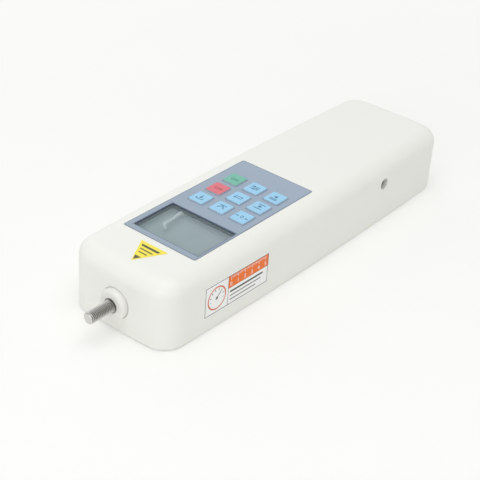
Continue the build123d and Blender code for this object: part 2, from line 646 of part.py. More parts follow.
# ---------------------------------------------------------------- cell bracket and its screws
with BuildPart() as cell_bracket:
    with BuildSketch(Plane.XZ.offset(-BRACKET_WIDTH / 2)):
        with BuildLine():
            Polyline(
                (cell_end, chassis_top),
                (foot_end, chassis_top),
                (foot_end, foot_top),
                (foot_start, foot_top),
                (foot_start, load_axis_z + cell_height / 2),
                (cell_end, load_axis_z + cell_height / 2),
                close=True,
            )
        make_face()
    extrude(amount=BRACKET_WIDTH)
    inner_corner = cell_bracket.edges().filter_by(Axis.Y).sort_by_distance((foot_start, 0, foot_top))[0]
    fillet(inner_corner, bracket_fillet)
    with BuildSketch(Plane.YZ.offset(cell_end)):
        with Locations((0, load_axis_z)):
            Circle(CELL_BOLT_RADIUS + SEAT_GAP)
    extrude(amount=BRACKET_WALL, mode=Mode.SUBTRACT)
    with BuildSketch(Plane.XY.offset(chassis_top)):
        with Locations((foot_screw_x, 0)):
            with GridLocations(0, FOOT_SCREW_SPACING, 1, 2):
                Circle(FOOT_SCREW_RADIUS + SEAT_GAP)
    extrude(amount=BRACKET_FOOT_HEIGHT, mode=Mode.SUBTRACT)
save(cell_bracket.part, "cell_bracket")

with BuildPart() as cell_bolt:
    with BuildSketch(Plane.YZ.offset(foot_start)):
        with Locations((0, load_axis_z)):
            Circle(CELL_BOLT_HEAD_RADIUS)
    extrude(amount=CELL_BOLT_HEAD_HEIGHT)
    with BuildSketch(Plane.YZ.offset(cell_end - CELL_BOLT_BITE)):
        with Locations((0, load_axis_z)):
            Circle(CELL_BOLT_RADIUS)
    extrude(amount=CELL_BOLT_BITE + BRACKET_WALL)
    with BuildSketch(Plane.YZ.offset(foot_start + CELL_BOLT_HEAD_HEIGHT)):
        with Locations((0, load_axis_z)):
            RegularPolygon(HEX_DRIVE_RADIUS, 6)
    extrude(amount=-HEX_DRIVE_DEPTH, mode=Mode.SUBTRACT)
save(cell_bolt.part, "cell_bolt")

with BuildPart() as bracket_screws:
    with BuildSketch(Plane.XY.offset(foot_top)):
        with Locations((foot_screw_x, 0)):
            with GridLocations(0, FOOT_SCREW_SPACING, 1, 2):
                Circle(FOOT_SCREW_HEAD_RADIUS)
    extrude(amount=FOOT_SCREW_HEAD_HEIGHT)
    with BuildSketch(Plane.XY.offset(COVER_THICKNESS + SEAT_GAP)):
        with Locations((foot_screw_x, 0)):
            with GridLocations(0, FOOT_SCREW_SPACING, 1, 2):
                Circle(FOOT_SCREW_RADIUS)
    extrude(amount=foot_top - COVER_THICKNESS - SEAT_GAP)
save(bracket_screws.part, "bracket_screws")

# ---------------------------------------------------------------- main board and what it carries
with BuildPart() as main_board:
    with BuildSketch(Plane.XY.offset(board_bottom)):
        with Locations((board_x, 0)):
            RectangleRounded(BOARD_LENGTH, board_width, BOARD_CORNER)
        with Locations(*post_places):
            Circle(BOARD_SCREW_RADIUS + SEAT_GAP, mode=Mode.SUBTRACT)
    extrude(amount=BOARD_THICKNESS)
save(main_board.part, "main_board")

with BuildPart() as board_screws:
    with BuildSketch(Plane.XY.offset(board_bottom)):
        with Locations(*post_places):
            Circle(BOARD_SCREW_HEAD_RADIUS)
    extrude(amount=-BOARD_SCREW_HEAD_HEIGHT)
    with BuildSketch(Plane.XY.offset(board_bottom)):
        with Locations(*post_places):
            Circle(BOARD_SCREW_RADIUS)
    extrude(amount=BOARD_THICKNESS + BOARD_SCREW_BITE)
save(board_screws.part, "board_screws")

with BuildPart() as key_switches:
    with BuildSketch(Plane.XY.offset(board_top)):
        with Locations(*key_places.values()):
            RectangleRounded(SWITCH_SIZE, SWITCH_SIZE, SWITCH_CORNER)
    extrude(amount=switch_top - board_top)
    with BuildSketch(Plane.XY.offset(well_floor)):
        with Locations(*key_places.values()):
            Circle(PLUNGER_TIP_RADIUS + MOVE_GAP)
    extrude(amount=SWITCH_WELL, mode=Mode.SUBTRACT)
save(key_switches.part, "key_switches")

with BuildPart() as board_chips:
    for chip_x, chip_y, chip_length, chip_width, chip_height in CHIP_PLACES:
        with BuildSketch(Plane.XY.offset(board_bottom)):
            with Locations((chip_x, chip_y)):
                Rectangle(chip_length, chip_width)
        extrude(amount=-chip_height)
save(board_chips.part, "board_chips")

with BuildPart() as buzzer:
    with BuildSketch(Plane.XY.offset(board_bottom)):
        with Locations((BUZZER_X, buzzer_y)):
            Circle(BUZZER_RADIUS)
    extrude(amount=-BUZZER_HEIGHT)
    with BuildSketch(Plane.XY.offset(board_bottom - BUZZER_HEIGHT)):
        with Locations((BUZZER_X, buzzer_y)):
            Circle(BUZZER_PORT_RADIUS)
    extrude(amount=BUZZER_PORT_DEPTH, mode=Mode.SUBTRACT)
save(buzzer.part, "buzzer")

cell_connector_x = cell_end - CELL_CABLE_INSET
connector_places = (
    (POWER_CONNECTOR_X, POWER_CONNECTOR_Y),
    (cell_connector_x, cell_connector_y),
)
with BuildPart() as board_connectors:
    with BuildSketch(Plane.XY.offset(board_bottom)):
        with Locations(*connector_places):
            Rectangle(CONNECTOR_LENGTH, CONNECTOR_WIDTH)
    extrude(amount=-CONNECTOR_HEIGHT)
save(board_connectors.part, "board_connectors")

# ---------------------------------------------------------------- display module
with BuildPart() as lcd_frame:
    with BuildSketch(Plane.XY.offset(board_top)):
        with Locations((window_x, FIELD_Y)):
            RectangleRounded(frame_length, frame_width, DISPLAY_FRAME_WALL)
    extrude(amount=display_top - board_top)
    with BuildSketch(Plane.XY.offset(board_top)):
        with Locations((window_x, FIELD_Y)):
            Rectangle(pocket_length, pocket_width)
    extrude(amount=glass_top - board_top, mode=Mode.SUBTRACT)
    with BuildSketch(Plane.XY.offset(glass_top)):
        with Locations((window_x, FIELD_Y)):
            Rectangle(WINDOW_LENGTH + 2 * DISPLAY_LIP_MARGIN, window_width + 2 * DISPLAY_LIP_MARGIN)
    extrude(amount=DISPLAY_FRAME_LIP, mode=Mode.SUBTRACT)
save(lcd_frame.part, "lcd_frame")

with BuildPart() as lcd_glass:
    with BuildSketch(Plane.XY.offset(glass_bottom)):
        with Locations((window_x, FIELD_Y)):
            Rectangle(glass_length, glass_width)
    extrude(amount=GLASS_THICKNESS)
save(lcd_glass.part, "lcd_glass")

zebra_offset = (glass_length - ZEBRA_WIDTH) / 2
with BuildPart() as zebra_strips:
    with BuildSketch(Plane.XY.offset(board_top)):
        with Locations((window_x, FIELD_Y)):
            with GridLocations(2 * zebra_offset, 0, 2, 1):
                Rectangle(ZEBRA_WIDTH, glass_width - 2 * ZEBRA_MARGIN)
    extrude(amount=glass_bottom - board_top)
save(zebra_strips.part, "zebra_strips")

with BuildPart() as lcd_backlight:
    with BuildSketch(Plane.XY.offset(board_top)):
        with Locations((window_x, FIELD_Y)):
            Rectangle(
                glass_length - 2 * (ZEBRA_WIDTH + MOVE_GAP), glass_width - 2 * ZEBRA_MARGIN
            )
    extrude(amount=glass_bottom - board_top)
save(lcd_backlight.part, "lcd_backlight")

with BuildPart() as display_window:
    with BuildSketch(Plane.XY.offset(ledge_level)):
        with Locations((window_x, FIELD_Y)):
            RectangleRounded(
                WINDOW_LENGTH + 2 * (WINDOW_LEDGE - SEAT_GAP),
                window_width + 2 * (WINDOW_LEDGE - SEAT_GAP),
                WINDOW_CORNER - SEAT_GAP,
            )
    extrude(amount=WINDOW_THICKNESS)
save(display_window.part, "display_window")

# ---------------------------------------------------------------- keypad overlay, keys, plungers
with BuildPart() as keypad_overlay:
    with BuildSketch(Plane.XY.offset(recess_floor)):
        with Locations((panel_x, 0)):
            RectangleRounded(PANEL_LENGTH, panel_width, PANEL_CORNER)
        with Locations((window_x, FIELD_Y)):
            RectangleRounded(WINDOW_LENGTH, window_width, WINDOW_CORNER, mode=Mode.SUBTRACT)
        with Locations(*key_places.values()):
            RectangleRounded(
                KEY_LENGTH + 2 * KEY_GAP,
                KEY_WIDTH + 2 * KEY_GAP,
                KEY_CORNER + KEY_GAP,
                mode=Mode.SUBTRACT,
            )
    extrude(amount=PANEL_THICKNESS)
save(keypad_overlay.part, "keypad_overlay")

for key_name, (key_x, key_y) in key_places.items():
    with BuildPart() as key_cap:
        with BuildSketch(Plane.XY.offset(key_underside)):
            with Locations((key_x, key_y)):
                RectangleRounded(KEY_LENGTH, KEY_WIDTH, KEY_CORNER)
        extrude(amount=key_top - key_underside)
        fillet(key_cap.faces().sort_by(Axis.Z)[-1].edges(), KEY_EDGE)
    save(key_cap.part, f"key_{key_name}")

    # stem through the case, flange under the ceiling, tip in the switch
    with BuildPart() as plunger:
        with BuildSketch(Plane.XY.offset(flange_top)):
            with Locations((key_x, key_y)):
                Circle(PLUNGER_RADIUS)
        extrude(amount=key_underside - flange_top)
        with BuildSketch(Plane.XY.offset(flange_bottom)):
            with Locations((key_x, key_y)):
                Circle(PLUNGER_FLANGE_RADIUS)
        extrude(amount=PLUNGER_FLANGE_THICKNESS)
        with BuildSketch(Plane.XY.offset(switch_top - PLUNGER_TIP_DEPTH)):
            with Locations((key_x, key_y)):
                Circle(PLUNGER_TIP_RADIUS)
        extrude(amount=flange_bottom - switch_top + PLUNGER_TIP_DEPTH)
    save(plunger.part, f"plunger_{key_name}")

# ---------------------------------------------------------------- battery pack
with BuildPart() as battery_tray:
    with BuildSketch(Plane.XY.offset(chassis_top)):
        with Locations((BATTERY_CENTRE_X, 0)):
            RectangleRounded(tray_length, tray_width, 2 * TRAY_WALL)
    extrude(amount=TRAY_HEIGHT)
    with BuildSketch(Plane.XY.offset(chassis_top + TRAY_WALL)):
        with Locations((BATTERY_CENTRE_X, 0)):
            RectangleRounded(tray_length - 2 * TRAY_WALL, tray_width - 2 * TRAY_WALL, TRAY_WALL)
    extrude(amount=TRAY_HEIGHT, mode=Mode.SUBTRACT)
save(battery_tray.part, "battery_tray")

with BuildPart() as battery_cells:
    with BuildSketch(Plane.XZ.offset(-BATTERY_LENGTH / 2)):
        with Locations((BATTERY_CENTRE_X, battery_axis_z)):
            with GridLocations(BATTERY_PITCH, 0, BATTERY_COUNT, 1):
                Circle(BATTERY_RADIUS)
    extrude(amount=BATTERY_LENGTH)
    # the raised poles point either way in turn
    for index in range(BATTERY_COUNT):
        pole_x = BATTERY_CENTRE_X + (index - (BATTERY_COUNT - 1) / 2) * BATTERY_PITCH
        pole_side = 1 if index % 2 else -1
        with BuildSketch(Plane.XZ.offset(pole_side * BATTERY_LENGTH / 2)):
            with Locations((pole_x, battery_axis_z)):
                Circle(BATTERY_CAP_RADIUS)
        extrude(amount=pole_side * BATTERY_CAP_HEIGHT)
save(battery_cells.part, "battery_cells")

# ---------------------------------------------------------------- charging socket
jack_wall_y = CASE_WIDTH / 2 - WALL - side_drop(abs(JACK_X) + JACK_WIDTH / 2)
jack_face = SEAT_GAP - jack_wall_y
jack_back = jack_face + JACK_DEPTH
with BuildPart() as charge_jack:
    with BuildSketch(Plane.XZ.offset(-jack_back)):
        with Locations((JACK_X, jack_z)):
            Rectangle(JACK_WIDTH, JACK_HEIGHT)
    extrude(amount=JACK_DEPTH)
    with BuildSketch(Plane.XZ.offset(-jack_face)):
        with Locations((JACK_X, jack_z)):
            Circle(JACK_BORE_RADIUS)
    extrude(amount=-JACK_BORE_DEPTH, mode=Mode.SUBTRACT)
    with BuildSketch(Plane.XZ.offset(-jack_back)):
        with Locations((JACK_X, jack_z)):
            Circle(JACK_PIN_RADIUS)
    extrude(amount=JACK_DEPTH - JACK_PIN_RECESS)
save(charge_jack.part, "charge_jack")

# ---------------------------------------------------------------- leads inside the case
tray_wire_z = chassis_top + TRAY_WALL + WIRE_HEIGHT
connector_bottom = board_bottom - CONNECTOR_HEIGHT
connector_tail_x = POWER_CONNECTOR_X + CONNECTOR_LENGTH / 2
jack_wire_z = connector_bottom + CONNECTOR_HEIGHT / 2
with BuildPart() as battery_leads:
    for wire_y in (POWER_CONNECTOR_Y - WIRE_PITCH / 2, POWER_CONNECTOR_Y + WIRE_PITCH / 2):
        bend = BEND_SHARE * (connector_bottom - tray_wire_z)
        with BuildLine() as wire_path:
            FilletPolyline(
                (tray_front, wire_y, tray_wire_z),
                (POWER_CONNECTOR_X, wire_y, tray_wire_z),
                (POWER_CONNECTOR_X, wire_y, connector_bottom),
                radius=bend,
            )
        with BuildSketch(Plane(origin=(tray_front, wire_y, tray_wire_z), z_dir=(-1, 0, 0))):
            Circle(WIRE_RADIUS)
        sweep(path=wire_path.wires()[0])
save(battery_leads.part, "battery_leads")

with BuildPart() as jack_leads:
    for wire_x in (JACK_X - WIRE_PITCH / 2, JACK_X + WIRE_PITCH / 2):
        wire_y = POWER_CONNECTOR_Y + (wire_x - JACK_X)
        with BuildLine() as wire_path:
            FilletPolyline(
                (wire_x, jack_back, jack_wire_z),
                (wire_x, wire_y, jack_wire_z),
                (connector_tail_x, wire_y, jack_wire_z),
                radius=BEND_SHARE * (wire_y - jack_back),
            )
        with BuildSketch(Plane(origin=(wire_x, jack_back, jack_wire_z), z_dir=(0, 1, 0))):
            Circle(WIRE_RADIUS)
        sweep(path=wire_path.wires()[0])
save(jack_leads.part, "jack_leads")

with BuildPart() as cell_cable:
    with BuildLine() as cable_path:
        FilletPolyline(
            (cell_connector_x, cell_side, load_axis_z),
            (cell_connector_x, cell_connector_y, load_axis_z),
            (cell_connector_x, cell_connector_y, connector_bottom),
            radius=BEND_SHARE * (connector_bottom - load_axis_z),
        )
    with BuildSketch(Plane(origin=(cell_connector_x, cell_side, load_axis_z), z_dir=(0, 1, 0))):
        Circle(CELL_CABLE_RADIUS)
    sweep(path=cable_path.wires()[0])
save(cell_cable.part, "cell_cable")

# ---------------------------------------------------------------- stickers
with BuildPart() as side_sticker:
    with BuildSketch(Plane.XY.offset(SIDE_STICKER_BOTTOM)):
        add(case_outline(-STICKER_THICKNESS))
        add(case_outline(), mode=Mode.SUBTRACT)
        with Locations((SIDE_STICKER_START_X + SIDE_STICKER_LENGTH / 2, -CASE_WIDTH / 2)):
            Rectangle(SIDE_STICKER_LENGTH, CASE_WIDTH / 2, mode=Mode.INTERSECT)
    extrude(amount=CASE_HEIGHT - SIDE_STICKER_DROP - SIDE_STICKER_BOTTOM)
save(side_sticker.part, "side_sticker")

with BuildPart() as pointer_sticker:
    with BuildSketch(Plane.XY.offset(CASE_HEIGHT)):
        with BuildLine():
            Polyline(
                (POINTER_BASE_X, POINTER_Y - POINTER_WIDTH / 2),
                (POINTER_BASE_X, POINTER_Y + POINTER_WIDTH / 2),
                (POINTER_BASE_X - POINTER_LENGTH, POINTER_Y),
                close=True,
            )
        make_face()
    extrude(amount=STICKER_THICKNESS)
save(pointer_sticker.part, "pointer_sticker")
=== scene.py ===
"""Hand-held digital force gauge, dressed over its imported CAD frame."""

import json
import math
from functools import reduce

import bmesh
import bpy
from bpy.props import FloatProperty, FloatVectorProperty, IntProperty, PointerProperty
from mathutils import Matrix, Vector


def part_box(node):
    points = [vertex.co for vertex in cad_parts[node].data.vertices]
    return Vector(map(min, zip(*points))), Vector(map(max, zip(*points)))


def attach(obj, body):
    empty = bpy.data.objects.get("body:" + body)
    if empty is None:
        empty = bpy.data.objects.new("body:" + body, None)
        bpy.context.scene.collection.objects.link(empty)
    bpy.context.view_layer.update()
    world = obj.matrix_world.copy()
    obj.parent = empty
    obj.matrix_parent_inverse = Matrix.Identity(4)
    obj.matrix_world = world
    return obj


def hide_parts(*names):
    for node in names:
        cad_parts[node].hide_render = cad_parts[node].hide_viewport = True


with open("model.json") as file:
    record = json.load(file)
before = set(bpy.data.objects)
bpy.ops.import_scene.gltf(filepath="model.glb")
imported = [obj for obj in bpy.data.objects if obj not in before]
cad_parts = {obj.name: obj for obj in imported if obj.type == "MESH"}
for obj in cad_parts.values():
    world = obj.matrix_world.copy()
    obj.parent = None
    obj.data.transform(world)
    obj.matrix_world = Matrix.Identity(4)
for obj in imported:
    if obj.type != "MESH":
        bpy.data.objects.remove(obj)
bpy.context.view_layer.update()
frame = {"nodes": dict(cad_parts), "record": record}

bl_info = {
    "name": "Force Gauge",
    "version": (1, 0, 0),
    "blender": (4, 5, 0),
    "location": "View3D > Sidebar > Force Gauge",
    "description": "Finishes, screw threads, key marks and stickers of a hand-held force gauge",
    "category": "Add Mesh",
}

MM = 0.001
KEYS = ("on", "set", "up", "off", "unit", "down", "save", "peak", "zero")

# the side label's numbered scale, in millimetres
SCALE_START = -71.1
SCALE_STEP = 5.0
SCALE_NUMBERS = 6
NUMERAL_LEVEL = 20.45

CAMERA_PLACE = (-0.46818, -0.33706, 0.35822)
CAMERA_TURN = (-52.791, 32.047, 4.282)  # azimuth, elevation and roll in degrees
CAMERA_LENS = 96.885

LAMPS = (  # setting with its power, place, point that it faces, size
    ("key", (-0.15, -0.1, 0.9), (0, 0, 0), 0.8),
    ("fill", (-0.98, -0.3, 0.4), (0, 0, 0.02), 0.7),
    ("rim", (0.3, 0.8, 0.5), (0, 0, 0.02), 0.6),
)


# ---------------- helpers for sizes and settings
def middle_and_half(node, plane="xy", margin=0.0):
    """Centre and half size of a node's box in a plane, in millimetres, with a margin."""
    low, high = (getattr(corner, plane) for corner in corners(node))
    return (low + high) / 2, (high - low) / 2 + Vector((margin, margin))


def corners(node):
    """A node's lowest and highest corner, in millimetres."""
    return [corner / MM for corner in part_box(node)]


def window():
    """Centre and half size of the part of the window that the film leaves open."""
    ledge = 1.5
    return middle_and_half("display_window", margin=-ledge)


def shade(red, green, blue):
    """A colour written in 8-bit sRGB, as the scene-linear numbers that Blender keeps."""
    return tuple(
        level / 12.92 if level <= 0.04045 else ((level + 0.055) / 1.055) ** 2.4
        for level in (red / 255, green / 255, blue / 255)
    )


def scaled(tint, factor):
    """A colour made darker or lighter."""
    return tuple(min(1.0, factor * level) for level in tint)


def colour(name, description, *rgb):
    return FloatVectorProperty(
        name=name, description=description, default=shade(*rgb), subtype="COLOR", min=0, max=1
    )


def length(name, description, metres):
    return FloatProperty(
        name=name, description=description, default=metres, unit="LENGTH", precision=5, min=0
    )


def share(name, description, default):
    return FloatProperty(
        name=name, description=description, default=default, subtype="FACTOR", min=0, max=1
    )


def strength(name, description, default):
    return FloatProperty(name=name, description=description, default=default, min=0)


# ---------------- shader maths
class Value:
    """A node's output; arithmetic on it adds Math nodes."""

    def __init__(self, owner, socket):
        self.owner = owner
        self.socket = socket

    def maths(self, operation, *others, **settings):
        return self.owner.maths(operation, self, *others, **settings)

    def __add__(self, other):
        return self.maths("ADD", other)

    __radd__ = __add__

    def __sub__(self, other):
        return self.maths("SUBTRACT", other)

    def __rsub__(self, other):
        return self.owner.maths("SUBTRACT", other, self)

    def __mul__(self, other):
        return self.maths("MULTIPLY", other)

    __rmul__ = __mul__

    def __truediv__(self, other):
        return self.maths("DIVIDE", other)

    def __rtruediv__(self, other):
        return self.owner.maths("DIVIDE", other, self)

    def __gt__(self, other):
        return self.maths("GREATER_THAN", other)

    def __abs__(self):
        return self.maths("ABSOLUTE")

    def ramp(self, start, end, low=0.0, high=1.0):
        """From low to high while the value goes from start to end."""
        inputs = {0: self, 1: start, 2: end, 3: low, 4: high}
        return self.owner.node("MapRange", inputs=inputs)

    def within(self, edge=0.12):
        """1 inside a shape, 0 outside it, where the value is the distance to its outline."""
        return self.maths("MULTIPLY_ADD", -1 / edge, 0.5, use_clamp=True)

    def off_middle(self, pitch):
        """How far the value is from the middle of its cell in a row, in shares of the pitch."""
        return abs((self / pitch).maths("FRACT") - 0.5)


class Nodes:
    """The node tree of a material or of the sky."""

    def __init__(self, holder):
        holder.use_nodes = True
        self.tree = holder.node_tree
        self.tree.nodes.clear()

    def node(self, kind, settings=(), inputs=(), output=0):
        """Add a node: its settings first, then the values or links of its sockets."""
        added = self.tree.nodes.new("ShaderNode" + kind)
        for name, value in dict(settings).items():
            setattr(added, name, value)
        for name, value in dict(inputs).items():
            self.feed(added.inputs[name], value)
        return Value(self, added.outputs[output]) if added.outputs else None

    def feed(self, socket, value):
        if isinstance(value, Value):
            self.tree.links.new(value.socket, socket)
        elif hasattr(value, "__len__") and socket.type == "RGBA":
            socket.default_value = (*tuple(value)[:3], 1.0)
        else:
            socket.default_value = value

    def maths(self, operation, *values, **settings):
        inputs = dict(enumerate(values))
        return self.node("Math", {"operation": operation, **settings}, inputs)

    def higher(self, *values):
        """The highest of some numbers."""
        return reduce(lambda first, second: self.maths("MAXIMUM", first, second), values)

    def lower(self, *values):
        """The lowest of some numbers."""
        return reduce(lambda first, second: self.maths("MINIMUM", first, second), values)

    def blend(self, factor, first, second):
        """From the first number to the second."""
        return self.node("Mix", {"data_type": "FLOAT"}, {0: factor, 2: first, 3: second})

    def mix_shaders(self, factor, first, second):
        return self.node("MixShader", inputs={0: factor, 1: first, 2: second})

    def looked_at(self):
        """1 for what the camera, gloss and glass look at, 0 for the light itself."""
        rays = ("Is Camera Ray", "Is Glossy Ray", "Is Transmission Ray")
        return self.higher(*(self.node("LightPath", output=ray) for ray in rays))


class Finish(Nodes):
    """A procedural material, with places and distances in millimetres of the gauge's frame."""

    def __init__(self, name):
        self.material = bpy.data.materials.new(name)
        super().__init__(self.material)
        metres = self.node("TexCoord", output="Object")
        self.mm = self.node("VectorMath", {"operation": "SCALE"}, {0: metres, "Scale": 1 / MM})
        self.x, self.y, self.z = (
            self.node("SeparateXYZ", inputs={0: self.mm}, output=axis) for axis in "XYZ"
        )

    def mix(self, factor, first, second):
        """From the first colour to the second."""
        settings = {"data_type": "RGBA"}
        return self.node("Mix", settings, {0: factor, 6: first, 7: second}, output=2)

    def noise(self, scale, detail=3.0, stretch=(1, 1, 1)):
        """Cloudy noise of a scale in grains per millimetre, centred on 0.5."""
        place = self.node("Mapping", inputs={"Vector": self.mm, "Scale": stretch})
        inputs = {"Vector": place, "Scale": scale, "Detail": detail}
        return self.node("TexNoise", inputs=inputs)

    def clouded(self, tint, scale, amount, factor):
        """A colour with soft clouds of a darker or lighter one."""
        return self.mix(self.noise(scale, 2.0) * amount, tint, scaled(tint, factor))

    def bump(self, height, depth):
        """A bump of a depth in metres."""
        return self.node("Bump", inputs={"Height": height, "Strength": 1.0, "Distance": depth})

    def box(self, u, v, centre, half):
        """Signed distance to an upright rectangle."""
        return self.higher(abs(u - centre[0]) - half[0], abs(v - centre[1]) - half[1])

    def reach(self, u, v, centre=(0, 0)):
        """Distance from a point."""
        across = u - centre[0]
        along = v - centre[1]
        return (across * across + along * along).maths("SQRT")

    def dots(self, pitch, radius, edge):
        """A square grid of dots, of a radius and an edge in shares of their pitch."""
        columns, rows = ((place / pitch).maths("FRACT") for place in (self.x, self.y))
        return (self.reach(columns, rows, (0.5, 0.5)) - radius).within(edge)

    def surface(self, **sockets):
        """The main shader, fed with constants or with what varies over the surface."""
        inputs = {name.replace("_", " "): value for name, value in sockets.items()}
        return self.node("BsdfPrincipled", inputs=inputs)

    def grain(self, height, spread, least, depth):
        """Sockets of a fine grain: its share in the roughness, and its depth in metres."""
        return {"Roughness": height * spread + least, "Normal": self.bump(height, depth)}

    def made_of(self, shader):
        """The finished material."""
        self.node("OutputMaterial", inputs={"Surface": shader})
        return self.material

    def made_with(self, **sockets):
        """The finished material, with nothing but the main shader."""
        return self.made_of(self.surface(**sockets))


# ---------------- finishes
def moulded_plastic(name, tint, grain, roughness, depth=0.000012):
    """Spark-textured moulded plastic with a faint flow mottle."""
    finish = Finish(name)
    flow = finish.noise(0.03, 2.0)
    fine = finish.noise(grain, 4.0)
    return finish.made_with(
        Base_Color=finish.mix((flow + fine) * 0.03, tint, scaled(tint, 0.72)),
        IOR=1.5,
        **finish.grain(fine, 0.16, roughness - 0.08, depth),
    )


def case_plastic(settings):
    """The shell's plastic, with painted shade on the walls of the display opening and in the joint
    line round the collar.
    """
    finish = Finish("case_plastic")
    flow = finish.noise(0.02, 2.0)
    fine = finish.noise(2.4, 4.0)
    tint = settings.plastic
    plastic = finish.mix(flow * 0.06 + fine * 0.03, tint, scaled(tint, 0.78))
    # painted shade on the walls of the opening, from under the glass up to the film, darker towards
    # the glass
    paint_low, paint_high = 29.64, 35.56
    opening = finish.box(finish.x, finish.y, *middle_and_half("display_window", margin=0.6))
    wall_shade_mask = finish.higher(opening, paint_low - finish.z, finish.z - paint_high).within(0.06)
    frame_top, case_top = (corners(node)[1].z for node in ("lcd_frame", "case_shell"))
    shade_towards_glass = finish.z.ramp(frame_top, case_top, 1.0, 0.0)
    shaded_walls = finish.mix(shade_towards_glass, settings.opening, scaled(settings.opening, 0.6))
    # the joint line round the collar, on the end of the case, darkened with painted shade
    centre, (radius, _) = middle_and_half("nose_collar", "yz")
    off_joint = abs(finish.reach(finish.y, finish.z, centre) - radius - 0.074)
    behind_face = corners("case_shell")[0].x + 3.0
    joint = finish.higher(off_joint - 0.16, finish.x - behind_face).within(0.14)
    plastic = finish.mix(joint * 0.6, plastic, settings.joint)
    return finish.made_with(
        Base_Color=finish.mix(wall_shade_mask, plastic, shaded_walls),
        IOR=1.5, Coat_Weight=0.06, Coat_Roughness=0.3,
        **finish.grain(fine, 0.14, 0.36, 0.000014),
    )


def metal(name, tint, roughness, brushed, scale):
    """Bare metal with fine tool marks drawn out along one direction."""
    finish = Finish(name)
    marks = finish.noise(scale, 3.0, brushed)
    haze = finish.noise(0.35, 2.0)
    return finish.made_with(
        Base_Color=finish.mix(marks * 0.35 + haze * 0.2, tint, scaled(tint, 0.62)),
        Metallic=1.0,
        Roughness=marks * 0.22 + haze * 0.12 + (roughness - 0.17),
        Normal=finish.bump(marks, 0.000006),
    )


def threaded_steel(settings, axis_z, crest):
    """Rolled steel thread: bright crests, and roots darkened with painted shade."""
    finish = Finish("stud_steel")
    out = finish.reach(finish.y, finish.z, (0.0, axis_z / MM))
    root = (crest - settings.depth) / MM
    tip = corners("load_stud")[0].x
    # painted shade: darker towards the thread roots, except near the tip
    root_shade = out.ramp(crest / MM - 0.12, root + 0.05) * finish.x.ramp(tip + 0.9, tip + 1.7)
    haze = finish.noise(0.8, 3.0)
    bright = finish.mix(haze * 0.25, settings.steel, scaled(settings.steel, 0.7))
    return finish.made_with(
        Base_Color=finish.mix(root_shade * 0.95, bright, settings.root),
        Metallic=1.0,
        Roughness=haze * 0.1 + root_shade * 0.25 + 0.1,
    )


def turned_metal(name, tint, pitch):
    """Steel turned on a lathe: fine rings round the load axis, and faint stains."""
    finish = Finish(name)
    rings = (finish.x * (2 * math.pi / pitch)).maths("SINE") * 0.5 + 0.5
    haze = finish.noise(0.8, 3.0)
    return finish.made_with(
        Base_Color=finish.mix(haze * 0.5, tint, scaled(tint, 0.6)),
        Metallic=1.0,
        Roughness=haze * 0.2 + rings * 0.06 + 0.14,
        Normal=finish.bump(rings, 0.000004),
    )


def overlay_film(settings):
    """Matt printed film: printed dark lines at its edge and round the window, and painted shade
    round each key.
    """
    finish = Finish("overlay_film")
    x, y = finish.x, finish.y
    along_film = (x - y * 0.35).ramp(-86.0, 2.0)
    field = finish.mix(along_film, settings.film_near, settings.film_far)
    cloud = finish.noise(0.05, 2.0)
    field = finish.mix(cloud * 0.22, field, scaled(settings.film_near, 0.8))
    line = settings.edge_line / MM
    inside_edge = (finish.box(x, y, *middle_and_half("keypad_overlay")) + line).within(0.2)
    by_window = (finish.box(x, y, *window()) - line).within(0.2)
    printed = finish.mix((1 - inside_edge) * 0.6, field, settings.line)
    printed = finish.mix(by_window * 0.8, printed, settings.line)
    # the keys stand in a square grid round the middle one
    middle, half = middle_and_half("key_unit")
    pitch = corners("key_on")[0].x - corners("key_off")[0].x
    off_x, off_y = (
        (place - centre + pitch / 2).off_middle(pitch) * pitch
        for place, centre in zip((x, y), middle)
    )
    # painted shade: a dark line round each key stands in for the shade in its gap
    gap = abs(finish.higher(off_x - half[0], off_y - half[1]) - 0.2) - 0.22
    keypad = finish.box(x, y, middle, (1.5 * pitch, 1.5 * pitch))
    key_gap_shade = finish.higher(gap, keypad).within(0.15)
    return finish.made_with(
        Base_Color=finish.mix(key_gap_shade * 0.6, printed, settings.line),
        IOR=1.55,
        **finish.grain(finish.noise(6.0, 2.0), 0.12, 0.34, 0.000006),
    )


def key_print(name, tint, side_highlight_tint):
    """A printed key: coloured face, with a painted highlight that makes its rounded sides paler."""
    finish = Finish(name)
    face = finish.clouded(tint, 0.25, 0.25, 0.82)
    top = corners("key_unit")[1].z
    # painted highlight: the rounded sides below the top are made paler
    side = finish.z.ramp(top - 0.16, top - 0.38, 0.0, 0.75)
    return finish.made_with(
        Base_Color=finish.mix(side, face, side_highlight_tint),
        IOR=1.5, Coat_Weight=0.15, Coat_Roughness=0.2,
        **finish.grain(finish.noise(7.0, 2.0), 0.1, 0.3, 0.000005),
    )


def legend_ink(name, tint):
    """Screen-printed ink, a little uneven."""
    finish = Finish(name)
    cover = finish.noise(4.0, 2.0)
    return finish.made_with(
        Base_Color=finish.mix(cover * 0.4, tint, scaled(tint, 1.5)),
        Roughness=cover * 0.15 + 0.4,
    )


def display_glass(settings):
    """The switched-off liquid crystal: grey-green, with a faint grid of dots."""
    finish = Finish("display_face")
    x, y = finish.x, finish.y
    cloud = finish.noise(0.06, 1.0)
    across = (y * 0.6 - x).ramp(45.0, 92.0)
    base = finish.mix(across, settings.glass_near, settings.glass_far)
    base = finish.mix(cloud * 0.25, base, shade(142, 154, 156))
    pitch = settings.dot_pitch / MM
    dots = (finish.higher(x.off_middle(pitch), y.off_middle(pitch)) - 0.42).within(0.1)
    middle, (half_x, half_y) = window()
    field = finish.box(x, y, middle, (half_x - 1.8, half_y - 2.0))
    base = finish.mix(dots * field.within(0.1) * 0.1, base, shade(112, 126, 128))
    # painted shade: a dark line round the field of dots, for the shadow at the edge of the opening
    rim = (abs(field - 0.6) - 0.16).within()
    return finish.made_with(
        Base_Color=finish.mix(rim * 0.55, base, shade(70, 82, 88)),
        Roughness=cloud * 0.1 + 0.14,
        IOR=1.52,
    )


